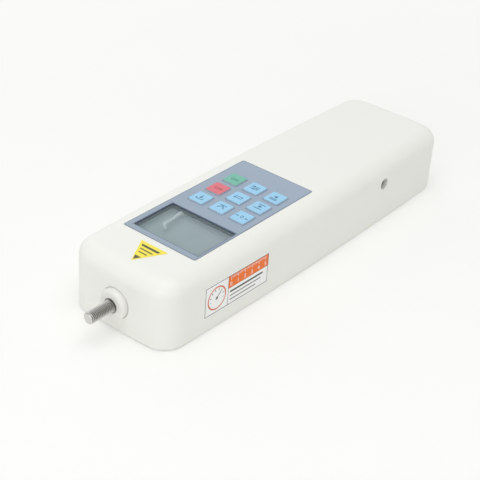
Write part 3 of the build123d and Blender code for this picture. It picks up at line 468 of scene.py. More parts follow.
def window_clear(settings):
    """Clear acrylic: it lets the display through, mirrors the light and holds one faint painted
    reflection, drawn as a crease.
    """
    finish = Finish("window_clear")
    x, y = finish.x, finish.y
    smear = finish.noise(0.12, 3.0)
    # painted reflection, drawn as a bent crease: a long stroke and a short one that wander a little
    wander = (finish.noise(0.25, 2.0) - 0.5) * 3.0
    long_side = finish.higher(
        abs(y - 10.3 - (x + 65.0) * 0.1 + wander) - 0.75, abs(x + 65.2) - 7.2
    )
    short_side = finish.higher(
        abs((x + 73.2) * 0.8 - (y - 8.4) * 0.6 + wander) - 0.6, abs(y - 8.6) - 2.0
    )
    crease = finish.lower(long_side, short_side).within(1.2) * settings.crease
    clear = finish.node("BsdfTransparent", inputs={"Color": shade(248, 251, 251)})
    gloss = finish.surface(
        Base_Color=shade(190, 204, 206), Roughness=smear * 0.04 + 0.03, IOR=1.49
    )
    return finish.made_of(finish.mix_shaders(smear * 0.05 + 0.07 + crease, clear, gloss))


def side_print(settings):
    """White label: border, divider, orange block with a numbered scale, a dial, ruled lines."""
    finish = Finish("side_print")
    x, z = finish.x, finish.z
    middle, half = middle_and_half("side_sticker", "xz")
    right, top = middle[0] + half[0], middle[1] + half[1]
    margin = 0.75
    border = abs(finish.box(x, z, middle, half) + margin) - 0.18
    divider_x = middle[0] - 6.65
    divider = finish.box(x, z, (divider_x, middle[1]), (0.15, half[1] - margin))
    block_half = ((right - 0.8 - divider_x) / 2, 3.4)
    block_top = top - 0.7
    block = finish.box(x, z, (divider_x + block_half[0], block_top - block_half[1]), block_half)
    # the scale hangs from the block's top edge, with a longer tick over each numeral
    pitch = SCALE_STEP / 5
    span = (SCALE_NUMBERS - 1) * SCALE_STEP / 2
    tick = (x - SCALE_START + pitch / 2).off_middle(pitch) * pitch - 0.16
    numbered = finish.lower(
        *(abs(x - SCALE_START - number * SCALE_STEP) for number in range(SCALE_NUMBERS))
    )
    tall = (numbered - 0.3).within(0.1) * 0.9 + 1.1
    below = block_top - 0.6 - z
    scale = finish.higher(tick, abs(x - SCALE_START - span) - span - 0.3, 0 - below, below - tall)
    # a dial with ticks over its upper part, a needle and a hub
    u, v = x - (divider_x - 7.9), z - (middle[1] - 0.1)
    out = finish.reach(u, v)
    step = math.radians(30)
    spoke = finish.maths("ARCTAN2", v, u).off_middle(step) * step * out - 0.2
    ticks = finish.higher(spoke, abs(out - 4.6) - 0.55, -1.2 - v)
    slope = math.sqrt(0.5)
    needle = finish.higher(abs(u - v) * slope - 0.24, abs((u + v) * slope - 1.4) - 2.6)
    hub = out - 0.75
    ring = abs(out - 6.0) - 0.36
    # ruled lines in place of words: level, length and half thickness
    left = divider_x + 1.4
    rules = finish.lower(*(
        finish.box(x, z, (left + long / 2, level), (long / 2, thick))
        for level, long, thick in ((16.2, 24.0, 0.5), (13.9, 22.6, 0.26), (11.7, 19.0, 0.26))
    ))
    dark = finish.lower(border, divider, rules, abs(block) - 0.07, ticks, needle, hub)
    printed = finish.clouded(settings.paper, 0.4, 0.2, 0.9)
    for shape, edge, tint in (
        (block, 0.1, settings.block),
        (scale, 0.1, settings.paper),
        (dark, 0.1, settings.ink),
        (ring, 0.12, settings.ring),
    ):
        printed = finish.mix(shape.within(edge), printed, tint)
    grain = finish.grain(finish.noise(3.0, 2.0), 0.1, 0.28, 0.000003)
    return finish.made_with(Base_Color=printed, IOR=1.38, **grain)


def pointer_print(settings):
    """Yellow triangle that points at the stud: a dark tip and three plain bars."""
    finish = Finish("pointer_print")
    x, y = finish.x, finish.y
    (middle_x, middle_y), (half_long, half_wide) = middle_and_half("pointer_sticker")
    apex, base = middle_x - half_long, middle_x + half_long
    flank = abs(y - middle_y) * (2 * half_long) - (x - apex) * half_wide
    outline = finish.higher(flank / math.hypot(2 * half_long, half_wide), x - base)
    tip = finish.higher(outline + 0.5, x - apex - 4.6)
    bars = finish.lower(*(
        abs(x - base + back) - thick for back, thick in ((2.9, 0.75), (5.7, 0.42), (8.2, 0.4))
    ))
    marks = finish.lower(tip, finish.higher(bars, outline + 1.2)).within()
    paper = finish.clouded(settings.yellow, 0.5, 0.25, 0.85)
    grain = finish.grain(finish.noise(3.0, 2.0), 0.1, 0.3, 0.000003)
    return finish.made_with(Base_Color=finish.mix(marks * 0.95, paper, settings.mark), **grain)


def board_laminate():
    """Green solder mask over tracks, with tinned pads in rows."""
    finish = Finish("board_laminate")
    # square patches of the board, each with tracks one way, and some with pads
    place = finish.node("VectorMath", {"operation": "SCALE"}, {0: finish.mm, "Scale": 0.12})
    corner = finish.node("VectorMath", {"operation": "FLOOR"}, {0: place})
    patch = finish.node("TexWhiteNoise", inputs={"Vector": corner})
    ways = (along.off_middle(1.1) for along in (finish.x, finish.y))
    run = finish.blend(patch > 0.5, *ways)
    tracks = (run - 0.16).within(0.1)
    pads = finish.dots(2.54, 0.17, 0.05) * (patch > 0.78)
    mask = finish.mix(tracks * 0.5, shade(22, 92, 58), shade(48, 128, 78))
    return finish.made_with(
        Base_Color=finish.mix(pads, mask, shade(205, 205, 198)),
        Metallic=pads * 0.9,
        Roughness=0.34,
        Normal=finish.bump(tracks, 0.00002),
    )


def jack_moulding():
    """Black socket body whose centre pin and bore lining are plated metal."""
    finish = Finish("jack_moulding")
    grain = finish.noise(3.0, 3.0)
    middle, _ = middle_and_half("charge_jack", "xz")
    off_axis = finish.reach(finish.x, finish.z, middle)
    pin = (off_axis - 1.0).within(0.1)
    lining = (abs(off_axis - 2.8) - 0.04).within(0.02)
    lining_start = corners("charge_jack")[0].y + 1.235
    plated = finish.lower(pin + lining * (finish.y > lining_start), 1.0)
    return finish.made_with(
        Base_Color=finish.mix(plated, shade(34, 34, 36), shade(205, 203, 196)),
        Metallic=plated,
        Roughness=grain * 0.2 + 0.32 - plated * 0.15,
        Normal=finish.bump(grain, 0.00001),
    )


def gauge_foil():
    """Amber film with a folded metal track, one on each end of the cell's sides."""
    finish = Finish("gauge_foil")
    (middle, _), (half, _) = middle_and_half("strain_gauges")
    fold = finish.x.off_middle(0.7) - 0.24
    grid = finish.higher(fold, abs(finish.x - middle) - half + 0.9).within(0.08)
    return finish.made_with(
        Base_Color=finish.mix(grid, shade(186, 118, 40), shade(150, 140, 124)),
        Metallic=grid * 0.8,
        Roughness=finish.noise(4.0) * 0.15 + 0.25,
    )


def battery_wrap(settings):
    """Shrink-wrapped cells: a plain green sleeve with a pale band and bare steel ends."""
    finish = Finish("battery_wrap")
    _, (_, half) = middle_and_half("battery_cells")
    from_end = half - abs(finish.y)
    steel = (from_end - 1.5).within(0.15)
    band = (abs(from_end - 5.2) - 1.2).within(0.15)
    wrinkle = finish.noise(0.7, 3.0, (1, 0.3, 1))
    sleeve = finish.mix(band, settings.sleeve, shade(226, 230, 222))
    return finish.made_with(
        Base_Color=finish.mix(steel, sleeve, shade(196, 196, 192)),
        Metallic=steel * 0.95,
        **finish.grain(wrinkle, 0.2, 0.2, 0.00004),
    )


def lead_sheath(name, first, second):
    """Soft vinyl insulation, one colour on each side of the line between two leads."""
    finish = Finish(name)
    (_, between), _ = middle_and_half("battery_leads")
    grain = finish.grain(finish.noise(1.6), 0.2, 0.35, 0.00002)
    return finish.made_with(Base_Color=finish.mix(finish.y > between, first, second), **grain)


def striped_rubber():
    """Contact strips: thin conducting layers between clear ones."""
    finish = Finish("contact_rubber")
    layer = (finish.y.off_middle(0.36) - 0.25).within(0.08)
    return finish.made_with(
        Base_Color=finish.mix(layer, shade(196, 140, 150), shade(38, 36, 38)),
        Roughness=finish.noise(3.0) * 0.1 + 0.6,
    )


def milky_guide():
    """Light guide: milky acrylic with a fine grid of dots on it."""
    finish = Finish("backlight_guide")
    dots = finish.dots(1.2, 0.2, 0.06) * 0.5
    return finish.made_with(
        Base_Color=finish.mix(dots, shade(226, 230, 226), shade(250, 251, 250)),
        Roughness=finish.noise(1.5) * 0.1 + 0.3,
        Subsurface_Weight=0.2,
        Subsurface_Radius=(0.001, 0.001, 0.001),
    )


def white_housing():
    """Plug housings, with painted shade for the slots where the pins go in."""
    finish = Finish("white_moulding")
    # painted shade: dark stripes stand in for the openings of the slots
    slot = (finish.y.off_middle(2.5) - 0.14).within(0.05)
    face = (finish.z - (corners("board_connectors")[0].z + 0.2)).within(0.05)
    return finish.made_with(
        Base_Color=finish.mix(slot * face, shade(232, 228, 214), shade(60, 58, 54)),
        Roughness=finish.noise(2.0) * 0.15 + 0.4,
    )


# ---------------- mesh helpers
def dress(material, *nodes):
    """Give nodes of the frame their finish; their meshes stay as they are."""
    for node in nodes:
        frame["nodes"][node].material_slots[0].material = material


def add_object(name, data):
    """A new object in the scene."""
    added = bpy.data.objects.new(name, data)
    bpy.context.scene.collection.objects.link(added)
    return added


def mesh_of(name, shape, material):
    """Close a bmesh into a mesh of one material."""
    mesh = bpy.data.meshes.new(name)
    shape.to_mesh(mesh)
    shape.free()
    mesh.materials.append(material)
    return mesh


def piece(name, shape, material, body, slot, smooth=None):
    """Close a bmesh into an object of the given finish that rides on a body; slot is not used."""
    mesh = mesh_of(name, shape, material)
    if smooth is not None:
        mesh.polygons.foreach_set("use_smooth", [True] * len(mesh.polygons))
        mesh.set_sharp_from_angle(angle=math.radians(smooth))
    made = add_object(name, mesh)
    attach(made, body)
    return made


def thread_profile(shape, start, turns, pitch, crest, root, axis_z):
    """One line of crests and roots along the load axis, with its edges, ready to spin."""
    profile = ((0.0, root), (0.25, root), (0.5625, crest), (0.6875, crest))
    line = [
        shape.verts.new((start + (turn + along) * pitch, 0.0, axis_z + radius))
        for turn in range(turns)
        for along, radius in profile
    ]
    return line, [shape.edges.new(pair) for pair in zip(line, line[1:])]


def cut_and_close(shape, at, outward):
    """Cut a shape square to the load axis and close the cut; gives the new faces."""
    on_the_cut = 0.000002
    bmesh.ops.bisect_plane(
        shape, geom=shape.verts[:] + shape.edges[:] + shape.faces[:],
        plane_co=(at, 0, 0), plane_no=(outward, 0, 0), clear_outer=True,
    )
    rim = [
        edge for edge in shape.edges
        if edge.is_boundary and all(abs(vert.co.x - at) < on_the_cut for vert in edge.verts)
    ]
    return bmesh.ops.edgeloop_fill(shape, edges=rim)["faces"]


def fade_to_tip(shape, end, crest, axis_z, tip):
    """Pull a thread's points in where it fades into its rounded tip."""
    for vert in shape.verts:
        into = min((vert.co.x - end) / tip, 1.0)
        allowed = crest - tip * (1 - math.sqrt(1 - (1 - into) ** 2))
        out = vert.co - Vector((vert.co.x, 0, axis_z))
        if out.length > allowed:
            vert.co = vert.co - out + out * (allowed / out.length)


def flat(u, v, turn=0.0):
    """A place and a turn in a key's own plane."""
    return Matrix.Translation((u, v, 0)) @ Matrix.Rotation(turn, 4, "Z")


def add_bar(shape, u, v, wide, high, turn=0.0):
    """A flat printed bar."""
    place = flat(u, v, turn) @ Matrix.Diagonal((wide / 2, high / 2, 1, 1))
    bmesh.ops.create_grid(shape, x_segments=1, y_segments=1, size=1.0, matrix=place)


def add_arrow(shape, u, v, size, turn):
    """A flat printed triangle; unturned it points to the right."""
    place = flat(u, v, turn)
    bmesh.ops.create_circle(shape, cap_ends=True, segments=3, radius=size, matrix=place)


def add_letters(shape, words, size, u, v):
    """Flat lettering, centred on a point."""
    text = bpy.data.curves.new("lettering", "FONT")
    text.body, text.size = words, size
    text.align_x = text.align_y = "CENTER"
    holder = add_object("lettering", text)
    bpy.context.view_layer.update()
    mesh = bpy.data.meshes.new_from_object(holder)
    mesh.transform(flat(u, v))
    shape.from_mesh(mesh)
    bpy.data.objects.remove(holder)
    bpy.data.curves.remove(text)
    bpy.data.meshes.remove(mesh)


def thicken(shape, rise):
    """Give flat print its thickness, along a vector in metres."""
    made = bmesh.ops.extrude_face_region(shape, geom=shape.faces[:])
    raised = [item for item in made["geom"] if isinstance(item, bmesh.types.BMVert)]
    bmesh.ops.translate(shape, verts=raised, vec=rise)
    bmesh.ops.recalc_face_normals(shape, faces=shape.faces[:])


def key_plane(key):
    """From a key's own plane in millimetres, u right and v up as it is read, to its top."""
    low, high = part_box("key_" + key)
    just_above = 0.000002
    centre = ((low.x + high.x) / 2, (low.y + high.y) / 2, high.z + just_above)
    turned = Matrix.Rotation(-math.pi / 2, 4, "Z")
    return Matrix.Translation(centre) @ turned @ Matrix.Scale(MM, 4)


def legend(key):
    """The mark of one key, flat in millimetres: ON, OFF, 0 or a plain sign."""
    right, up, left, down = (quarter * math.pi / 2 for quarter in (0, 1, 2, -1))
    slant = math.radians(38)
    words = {
        "on": ("ON", 2.9, 0.4, -0.6), "off": ("OFF", 2.9, 0.4, -0.6), "zero": ("0", 3.4, 0, -0.3)
    }
    bars = {
        "zero": ((-3.3, -0.3, 1.0, 0.35), (3.3, -0.3, 1.0, 0.35)),
        "up": ((0, -1.5, 4.4, 0.5), (0, -2.6, 4.4, 0.5)),
        "down": ((0, 2.6, 4.4, 0.5), (0, -1.5, 4.4, 0.5)),
        "set": (
            (0, 1.3, 4.8, 0.35), (0, 0, 4.8, 0.35), (0, -1.3, 4.8, 0.35),
            (-1.2, 1.3, 0.8, 1.0), (1.1, 0, 0.8, 1.0), (-0.2, -1.3, 0.8, 1.0),
        ),
        "unit": ((-0.4, 0.75, 3.6, 0.4), (0.4, -0.75, 3.6, 0.4)),
        "save": (
            (0, 1.2, 0.5, 1.7), (0, -1.9, 4.2, 0.45),
            (-1.9, -1.3, 0.45, 1.2), (1.9, -1.3, 0.45, 1.2),
        ),
        "peak": ((0, 1.7, 4.4, 0.45), (-1, 0, 0.5, 3.1, -slant), (1, 0, 0.5, 3.1, slant)),
    }
    arrows = {
        "zero": ((-2.5, -0.3, 0.75, right), (2.5, -0.3, 0.75, left)),
        "up": ((0, 0.6, 1.35, up),),
        "down": ((0, 0.6, 1.35, down),),
        "unit": ((1.8, 0.75, 0.85, right), (-1.8, -0.75, 0.85, left)),
        "save": ((0, -0.1, 1.1, down),),
    }
    shape = bmesh.new()
    if key in words:
        add_letters(shape, *words[key])
    for bar in bars.get(key, ()):
        add_bar(shape, *bar)
    for arrow in arrows.get(key, ()):
        add_arrow(shape, *arrow)
    return shape


# ---------------- settings
class CaseSettings(bpy.types.PropertyGroup):
    """Colours of the moulded parts."""

    plastic: colour("Case", "Plastic of the upper shell", 237, 238, 232)
    cover: colour("Cover", "Plastic of the cover on the underside", 232, 232, 227)
    collar: colour("Collar", "Plastic of the collar round the stud", 231, 231, 226)
    # a real joint line, darkened with painted shade where the collar meets the case
    joint: colour("Joint", "Shaded line round the collar", 120, 120, 112)
    # painted shade: this grey on the walls of the display opening stands in for the shade in the
    # recess
    opening: colour("Opening", "Painted walls of the display opening", 134, 145, 158)


class StudSettings(bpy.types.PropertyGroup):
    """Sizes and steel of the load stud and of the stand threads."""

    pitch: length("Stud pitch", "Pitch of the metric thread on the stud", 0.001)
    depth: length("Stud thread depth", "Crest to root of the stud's thread", 0.000613)
    steps: IntProperty(name="Steps", description="Facets round the thread", default=56, min=16)
    tip: length("Tip round", "How far the thread fades at the tip", 0.0011)
    crown: length("Tip crown", "How far the tip bulges", 0.0004)
    neck: length("Neck", "Radius of the plain part behind the thread", 0.002)
    stand_pitch: length("Stand pitch", "Pitch of the stand threads", 0.0007)
    stand_depth: length("Stand thread depth", "Depth of the stand threads", 0.00036)
    stand_length: length("Stand thread length", "Height of the stand threads", 0.0048)
    steel: colour("Stud steel", "Stainless steel of the stud", 214, 213, 209)
    # painted shade: the colour that the thread roots are darkened towards
    root: colour("Thread roots", "Dull steel between the crests", 38, 38, 37)
    shaft: colour("Shaft steel", "Steel of the shaft behind the stud", 176, 176, 174)
    bracket: colour("Plated steel", "Chassis plate, its feet and the cell bracket", 190, 190, 186)
    screws: colour("Screws", "Zinc plating of the screws", 200, 202, 200)


class PanelSettings(bpy.types.PropertyGroup):
    """Colours and line widths of the overlay and the display."""

    film_near: colour("Film, display end", "Overlay colour beside the display", 146, 162, 178)
    film_far: colour("Film, key end", "Overlay colour beyond the keys", 152, 168, 187)
    line: colour("Lines", "Printed edge lines", 92, 106, 132)
    edge_line: length("Edge line", "Width of the printed edge lines", 0.0005)
    glass_near: colour("Display, light part", "Switched-off display, far side", 177, 182, 192)
    glass_far: colour("Display, green part", "Switched-off display, near side", 166, 180, 181)
    dot_pitch: length("Dot pitch", "Spacing of the display's dots", 0.00034)
    # painted reflection: whiteness of a crease-shaped streak on the window
    crease: share("Crease", "Whiteness of the crease in the window", 0.5)
    surround: colour("Display frame", "Moulding that holds the display", 44, 48, 54)


class KeySettings(bpy.types.PropertyGroup):
    """Colours and ink of the keys."""

    blue: colour("Blue keys", "Face of the plain keys", 150, 205, 237)
    green: colour("Green key", "Face of the ON key", 108, 184, 162)
    red: colour("Red key", "Face of the OFF key", 220, 108, 120)
    # painted highlight on the rounded sides of the keys
    side: colour("Key sides", "Rounded sides of the keys", 214, 226, 236)
    blue_ink: colour("Ink on blue", "Marks on the blue keys", 62, 104, 140)
    green_ink: colour("Ink on green", "Marks on the green key", 34, 104, 88)
    red_ink: colour("Ink on red", "Marks on the red key", 150, 48, 62)
    ink_rise: length("Ink", "Thickness of the printed marks", 0.00003)
    plunger: colour("Plungers", "Moulding of the plungers under the keys", 228, 226, 216)


class LabelSettings(bpy.types.PropertyGroup):
    """Colours and print of the stickers."""

    paper: colour("Paper", "White of the side label", 245, 246, 245)
    block: colour("Orange", "Block of the side label", 240, 112, 8)
    ring: colour("Ring", "Ring round the dial", 206, 92, 34)
    ink: colour("Ink", "Lines of the side label", 48, 49, 53)
    yellow: colour("Yellow", "Pointer on the top", 246, 228, 66)
    mark: colour("Pointer ink", "Tip and bars of the pointer", 44, 44, 40)
    numerals: length("Numerals", "Height of the scale's type", 0.0031)
    ink_rise: length("Numeral ink", "Thickness of the printed numerals", 0.00003)


class InnerSettings(bpy.types.PropertyGroup):
    """Colours of the parts inside the case."""

    aluminium: colour("Load cell", "Milled aluminium of the load cell", 206, 208, 210)
    sleeve: colour("Cells", "Sleeve round the battery cells", 48, 128, 84)
    red_lead: colour("Lead, plus", "Insulation of the plus leads", 176, 34, 34)
    black_lead: colour("Lead, minus", "Insulation of the minus leads", 30, 30, 32)
    cable: colour("Cell cable", "Sheath of the load cell's cable", 120, 124, 128)
    moulding: colour("Black parts", "Chips, buzzer, switches and battery tray", 36, 37, 39)


class StageSettings(bpy.types.PropertyGroup):
    """Floor, lamps and camera."""

    floor: colour("Floor", "Pale floor", 250, 250, 247)
    floor_white: share("Floor whiteness", "How far the floor by the gauge looks white", 0.3)
    sky: strength("Sky", "Strength of the even light", 0.6)
    key: strength("Key lamp", "Power of the overhead lamp", 3.2)
    fill: strength("Fill lamp", "Power of the front lamp", 2.0)
    rim: strength("Rim lamp", "Power of the rear lamp", 0.8)


class GaugeSettings(bpy.types.PropertyGroup):
    """All the settings of the force gauge."""

    case: PointerProperty(type=CaseSettings)
    stud: PointerProperty(type=StudSettings)
    panel: PointerProperty(type=PanelSettings)
    keys: PointerProperty(type=KeySettings)
    label: PointerProperty(type=LabelSettings)
    inner: PointerProperty(type=InnerSettings)
    stage: PointerProperty(type=StageSettings)


# ---------------- operators
class GAUGE_OT_case(bpy.types.Operator):
    """Finish the shell, the cover and the collar round the stud"""

    bl_idname = "gauge.case"
    bl_label = "Case"

    def execute(self, context):
        settings = context.scene.force_gauge.case
        dress(case_plastic(settings), "case_shell")
        dress(moulded_plastic("cover_plastic", settings.cover, 1.8, 0.46, 0.00002), "back_cover")
        dress(moulded_plastic("collar_plastic", settings.collar, 3.0, 0.3, 0.000004), "nose_collar")
        return {"FINISHED"}


class GAUGE_OT_load_stud(bpy.types.Operator):
    """Cut the metric thread of the load stud and finish the shaft behind it"""

    bl_idname = "gauge.load_stud"
    bl_label = "Load stud"

    def execute(self, context):
        settings = context.scene.force_gauge.stud
        low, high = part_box("load_stud")
        axis_z = (low.z + high.z) / 2
        crest = (high.z - low.z) / 2 - 0.00001
        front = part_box("load_shaft")[0].x
        # wound with two spare turns at each end, which the two cuts take off
        spare = 2
        turns = math.ceil((front - low.x) / settings.pitch) + 2 * spare
        start = low.x - spare * settings.pitch
        root = crest - settings.depth
        shape = bmesh.new()
        line, edges = thread_profile(shape, start, turns, settings.pitch, crest, root, axis_z)
        bmesh.ops.spin(
            shape, geom=line + edges, cent=(0, 0, axis_z), axis=(1, 0, 0), angle=2 * math.pi,
            dvec=(settings.pitch / settings.steps, 0, 0), steps=settings.steps, use_merge=False,
        )
        bmesh.ops.remove_doubles(shape, verts=shape.verts[:], dist=0.000003)
        end = low.x + settings.crown
        tip = cut_and_close(shape, end, -1)
        cut_and_close(shape, front, 1)
        fade_to_tip(shape, end, crest, axis_z, settings.tip)
        bmesh.ops.recalc_face_normals(shape, faces=shape.faces[:])
        if shape.calc_volume(signed=True) < 0:
            bmesh.ops.reverse_faces(shape, faces=shape.faces[:])
        bmesh.ops.poke(shape, faces=tip, offset=settings.crown)
        # the plain neck behind the thread
        place = Matrix.Translation(((front + high.x) / 2, 0, axis_z))
        bmesh.ops.create_cone(
            shape, cap_ends=True, segments=48, radius1=settings.neck, radius2=settings.neck,
            depth=high.x - front, matrix=place @ Matrix.Rotation(math.pi / 2, 4, "Y"),
        )
        steel = threaded_steel(settings, axis_z, crest)
        stud = piece("stud_thread", shape, steel, "load_line", "stud_steel", smooth=22)
        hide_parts("load_stud")
        dress(turned_metal("shaft_steel", settings.shaft, 0.12), "load_shaft")
        return {"FINISHED"}


class GAUGE_OT_underside(bpy.types.Operator):
    """Finish the screws and the chassis plate, and cut the threads of the four stand holes"""

    bl_idname = "gauge.underside"
    bl_label = "Underside"

    def execute(self, context):
        settings = context.scene.force_gauge.stud
        dress(
            metal("screw_steel", settings.screws, 0.3, (1, 1, 1), 5.0),
            "cover_screws", "chassis_screws", "bracket_screws", "board_screws", "cell_bolt",
        )
        plated = metal("bracket_metal", settings.bracket, 0.36, (0.2, 1, 1), 2.5)
        dress(plated, "chassis_plate", "cell_bracket")
        holes = next(
            mount["dims"] for mount in frame["record"]["mounts"] if mount["name"] == "stand_holes"
        )
        off_x, off_y = (holes[name] / 2 * MM for name in ("spacing_x_mm", "spacing_y_mm"))
        shape = bmesh.new()
        for x in (-off_x, off_x):
            for y in (-off_y, off_y):
                self.add_thread(shape, settings, x, y, holes["hole_r_mm"] * MM)
        bmesh.ops.recalc_face_normals(shape, faces=shape.faces[:])
        piece("stand_threads", shape, plated, "root", "bracket_metal", smooth=30)
        return {"FINISHED"}

    def add_thread(self, shape, settings, x, y, radius):
        """The rib of one hole's thread, from just above the hole's rim."""
        pitch, steps, first_level = settings.stand_pitch, 24, 0.0003
        wall, crest = radius - 0.00001, radius - settings.stand_depth
        rib = [
            shape.verts.new((x + out, y, first_level + along * pitch))
            for out, along in ((wall, 0.0), (crest, 0.4), (crest, 0.52), (wall, 0.92))
        ]
        loop = [shape.edges.new(pair) for pair in zip(rib, rib[1:] + rib[:1])]
        shape.faces.new(rib)
        turns = int(settings.stand_length / pitch)
        made = bmesh.ops.spin(
            shape, geom=rib + loop, cent=(x, y, 0), axis=(0, 0, 1), angle=2 * math.pi * turns,
            dvec=(0, 0, pitch / steps), steps=steps * turns, use_merge=False,
        )
        last = [item for item in made["geom_last"] if isinstance(item, bmesh.types.BMEdge)]
        bmesh.ops.edgeloop_fill(shape, edges=last)


class GAUGE_OT_panel(bpy.types.Operator):
    """Finish the printed overlay, the clear window and the display under it"""

    bl_idname = "gauge.panel"
    bl_label = "Overlay and display"

    def execute(self, context):
        settings = context.scene.force_gauge.panel
        dress(overlay_film(settings), "keypad_overlay")
        dress(window_clear(settings), "display_window")
        dress(display_glass(settings), "lcd_glass")
        dress(moulded_plastic("display_frame", settings.surround, 3.0, 0.4), "lcd_frame")
        dress(milky_guide(), "lcd_backlight")
        dress(striped_rubber(), "zebra_strips")
        return {"FINISHED"}


class GAUGE_OT_keys(bpy.types.Operator):
    """Finish the nine keys and their plungers, and print a plain mark on each key"""

    bl_idname = "gauge.keys"
    bl_label = "Keys"

    def execute(self, context):
        settings = context.scene.force_gauge.keys
        families = {"on": "green", "off": "red"}
        faces = {}
        inks = {}
        nylon = moulded_plastic("plunger_moulding", settings.plunger, 2.0, 0.4)
        for key in KEYS:
            family = families.get(key, "blue")
            if family not in faces:
                tint, ink = getattr(settings, family), getattr(settings, family + "_ink")
                faces[family] = key_print("key_" + family, tint, settings.side)
                inks[family] = legend_ink("ink_on_" + family, ink)
            dress(faces[family], "key_" + key)
            dress(nylon, "plunger_" + key)
            shape = legend(key)
            bmesh.ops.transform(shape, matrix=key_plane(key), verts=shape.verts[:])
            thicken(shape, (0, 0, settings.ink_rise))
            piece("mark_" + key, shape, inks[family], key + "_button", "key_" + family)
        return {"FINISHED"}


class GAUGE_OT_stickers(bpy.types.Operator):
    """Print the side label and the pointer on the top"""

    bl_idname = "gauge.stickers"
    bl_label = "Stickers"

    def execute(self, context):
        settings = context.scene.force_gauge.label
        dress(side_print(settings), "side_sticker")
        dress(pointer_print(settings), "pointer_sticker")
        shape = bmesh.new()
        for number in range(SCALE_NUMBERS):
            place = (SCALE_START + number * SCALE_STEP, NUMERAL_LEVEL)
            add_letters(shape, str(number), settings.numerals / MM, *place)
        upright = Matrix.Scale(MM, 4) @ Matrix.Rotation(math.pi / 2, 4, "X")
        bmesh.ops.transform(shape, matrix=upright, verts=shape.verts[:])
        self.lay_on_label(shape)
        thicken(shape, (0, -settings.ink_rise, 0))
        white = legend_ink("label_white", settings.paper)
        piece("scale_numbers", shape, white, "root", "side_print")
        return {"FINISHED"}

    def lay_on_label(self, shape):
        """Move every point along Y until it lies just on the label's curved face."""
        label = frame["nodes"]["side_sticker"]
        far_out, just_outside = -1.0, 0.000004
        for vert in shape.verts:
            hit, place, _, _ = label.ray_cast(Vector((vert.co.x, far_out, vert.co.z)), (0, 1, 0))
            if not hit:
                raise RuntimeError("a numeral lies off the label")
            vert.co.y = place.y - just_outside


class GAUGE_OT_inside(bpy.types.Operator):
    """Finish the load cell, the boards, the cells, the socket and the leads"""

    bl_idname = "gauge.inside"
    bl_label = "Inside"

    def execute(self, context):
        settings = context.scene.force_gauge.inner
        dress(metal("cell_aluminium", settings.aluminium, 0.34, (0.15, 1, 1), 3.0), "load_cell")
        dress(gauge_foil(), "strain_gauges")
        dress(lead_sheath("cable_sheath", settings.cable, settings.cable), "cell_cable")
        dress(board_laminate(), "main_board")
        black = moulded_plastic("black_moulding", settings.moulding, 2.6, 0.44, 0.00002)
        dress(black, "board_chips", "buzzer", "key_switches", "battery_tray")
        dress(white_housing(), "board_connectors")
        dress(jack_moulding(), "charge_jack")
        dress(battery_wrap(settings), "battery_cells")
        pair = (settings.black_lead, settings.red_lead)
        dress(lead_sheath("lead_sheath", *pair), "battery_leads")
        dress(lead_sheath("jack_lead_sheath", *pair), "jack_leads")
        return {"FINISHED"}


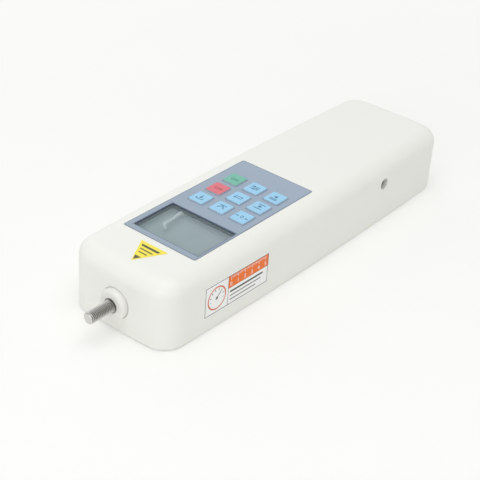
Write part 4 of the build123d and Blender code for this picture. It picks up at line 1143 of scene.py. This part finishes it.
class GAUGE_OT_stage(bpy.types.Operator):
    """Set up the pale floor, the lamps and the camera"""

    bl_idname = "gauge.stage"
    bl_label = "Stage"

    def execute(self, context):
        settings = context.scene.force_gauge.stage
        context.scene.view_settings.view_transform = "Standard"
        shape = bmesh.new()
        bmesh.ops.create_grid(shape, x_segments=1, y_segments=1, size=3.0)
        bmesh.ops.translate(shape, verts=shape.verts[:], vec=(0, 0, -0.0001))
        add_object("floor", mesh_of("floor", shape, self.floor_finish(settings)))
        self.light_sky(context.scene, settings)
        for name, place, aim, size in LAMPS:
            self.add_lamp(name + "_lamp", place, aim, size, getattr(settings, name))
        self.add_camera(context.scene)
        return {"FINISHED"}

    def floor_finish(self, settings):
        """Pale floor that looks white far off, with the gauge's shadow kept."""
        finish = Finish("floor_finish")
        cloud = finish.noise(0.02, 2.0)
        plain = finish.surface(
            Base_Color=finish.mix(cloud * 0.04, settings.floor, (0.5, 0.5, 0.48)), Roughness=0.9
        )
        white = finish.node("Emission", inputs={"Color": (1.0, 1.0, 0.995), "Strength": 1.0})
        lift = finish.reach(finish.x, finish.y).ramp(130.0, 650.0, settings.floor_white, 1.0)
        return finish.made_of(finish.mix_shaders(finish.looked_at() * lift, plain, white))

    def light_sky(self, scene, settings):
        """Even pale light, which the camera, gloss and glass see as white."""
        scene.world = bpy.data.worlds.new("sky")
        sky = Nodes(scene.world)
        power = sky.blend(sky.looked_at(), settings.sky, 1.0)
        light = sky.node("Background", inputs={"Color": (1.0, 1.0, 1.0), "Strength": power})
        sky.node("OutputWorld", inputs={"Surface": light})

    def add_lamp(self, name, place, aim, size, power):
        """A square lamp that faces a point."""
        light = bpy.data.lights.new(name, "AREA")
        light.size = size
        light.energy = power
        away = Vector(place) - Vector(aim)
        turn = away.to_track_quat("Z", "Y").to_matrix().to_4x4()
        add_object(name, light).matrix_world = Matrix.Translation(place) @ turn

    def add_camera(self, scene):
        """The camera that the scene is seen through."""
        camera = bpy.data.cameras.new("camera")
        camera.lens = CAMERA_LENS
        camera.sensor_width = 36.0
        camera.clip_start, camera.clip_end = 0.01, 20.0
        azimuth, elevation, roll = (math.radians(angle) for angle in CAMERA_TURN)
        scene.camera = add_object("camera", camera)
        scene.camera.matrix_world = (
            Matrix.Translation(CAMERA_PLACE)
            @ Matrix.Rotation(azimuth, 4, "Z")
            @ Matrix.Rotation(math.pi / 2 - elevation, 4, "X")
            @ Matrix.Rotation(roll, 4, "Z")
        )


class GAUGE_PT_sidebar(bpy.types.Panel):
    """The gauge's pieces, each with its settings"""

    bl_idname = "GAUGE_PT_sidebar"
    bl_label = "Force Gauge"
    bl_space_type = "VIEW_3D"
    bl_region_type = "UI"
    bl_category = "Force Gauge"

    def draw(self, context):
        for step, group in STEPS.items():
            box = self.layout.box()
            box.operator("gauge." + step)
            values = getattr(context.scene.force_gauge, group)
            for name in values.bl_rna.properties.keys():
                if name not in ("rna_type", "name"):
                    box.prop(values, name)


STEPS = {  # the operators in order, each with its settings
    "case": "case", "load_stud": "stud", "underside": "stud", "panel": "panel",
    "keys": "keys", "stickers": "label", "inside": "inner", "stage": "stage",
}

CLASSES = (
    CaseSettings, StudSettings, PanelSettings, KeySettings, LabelSettings, InnerSettings,
    StageSettings, GaugeSettings, GAUGE_OT_case, GAUGE_OT_load_stud, GAUGE_OT_underside,
    GAUGE_OT_panel, GAUGE_OT_keys, GAUGE_OT_stickers, GAUGE_OT_inside, GAUGE_OT_stage,
    GAUGE_PT_sidebar,
)


def register():
    for item in CLASSES:
        bpy.utils.register_class(item)
    bpy.types.Scene.force_gauge = PointerProperty(type=GaugeSettings)


def unregister():
    del bpy.types.Scene.force_gauge
    for item in reversed(CLASSES):
        bpy.utils.unregister_class(item)


def main():
    """Build every piece in turn."""
    register()
    for step in STEPS:
        getattr(bpy.ops.gauge, step)()


if __name__ == "__main__":
    main()
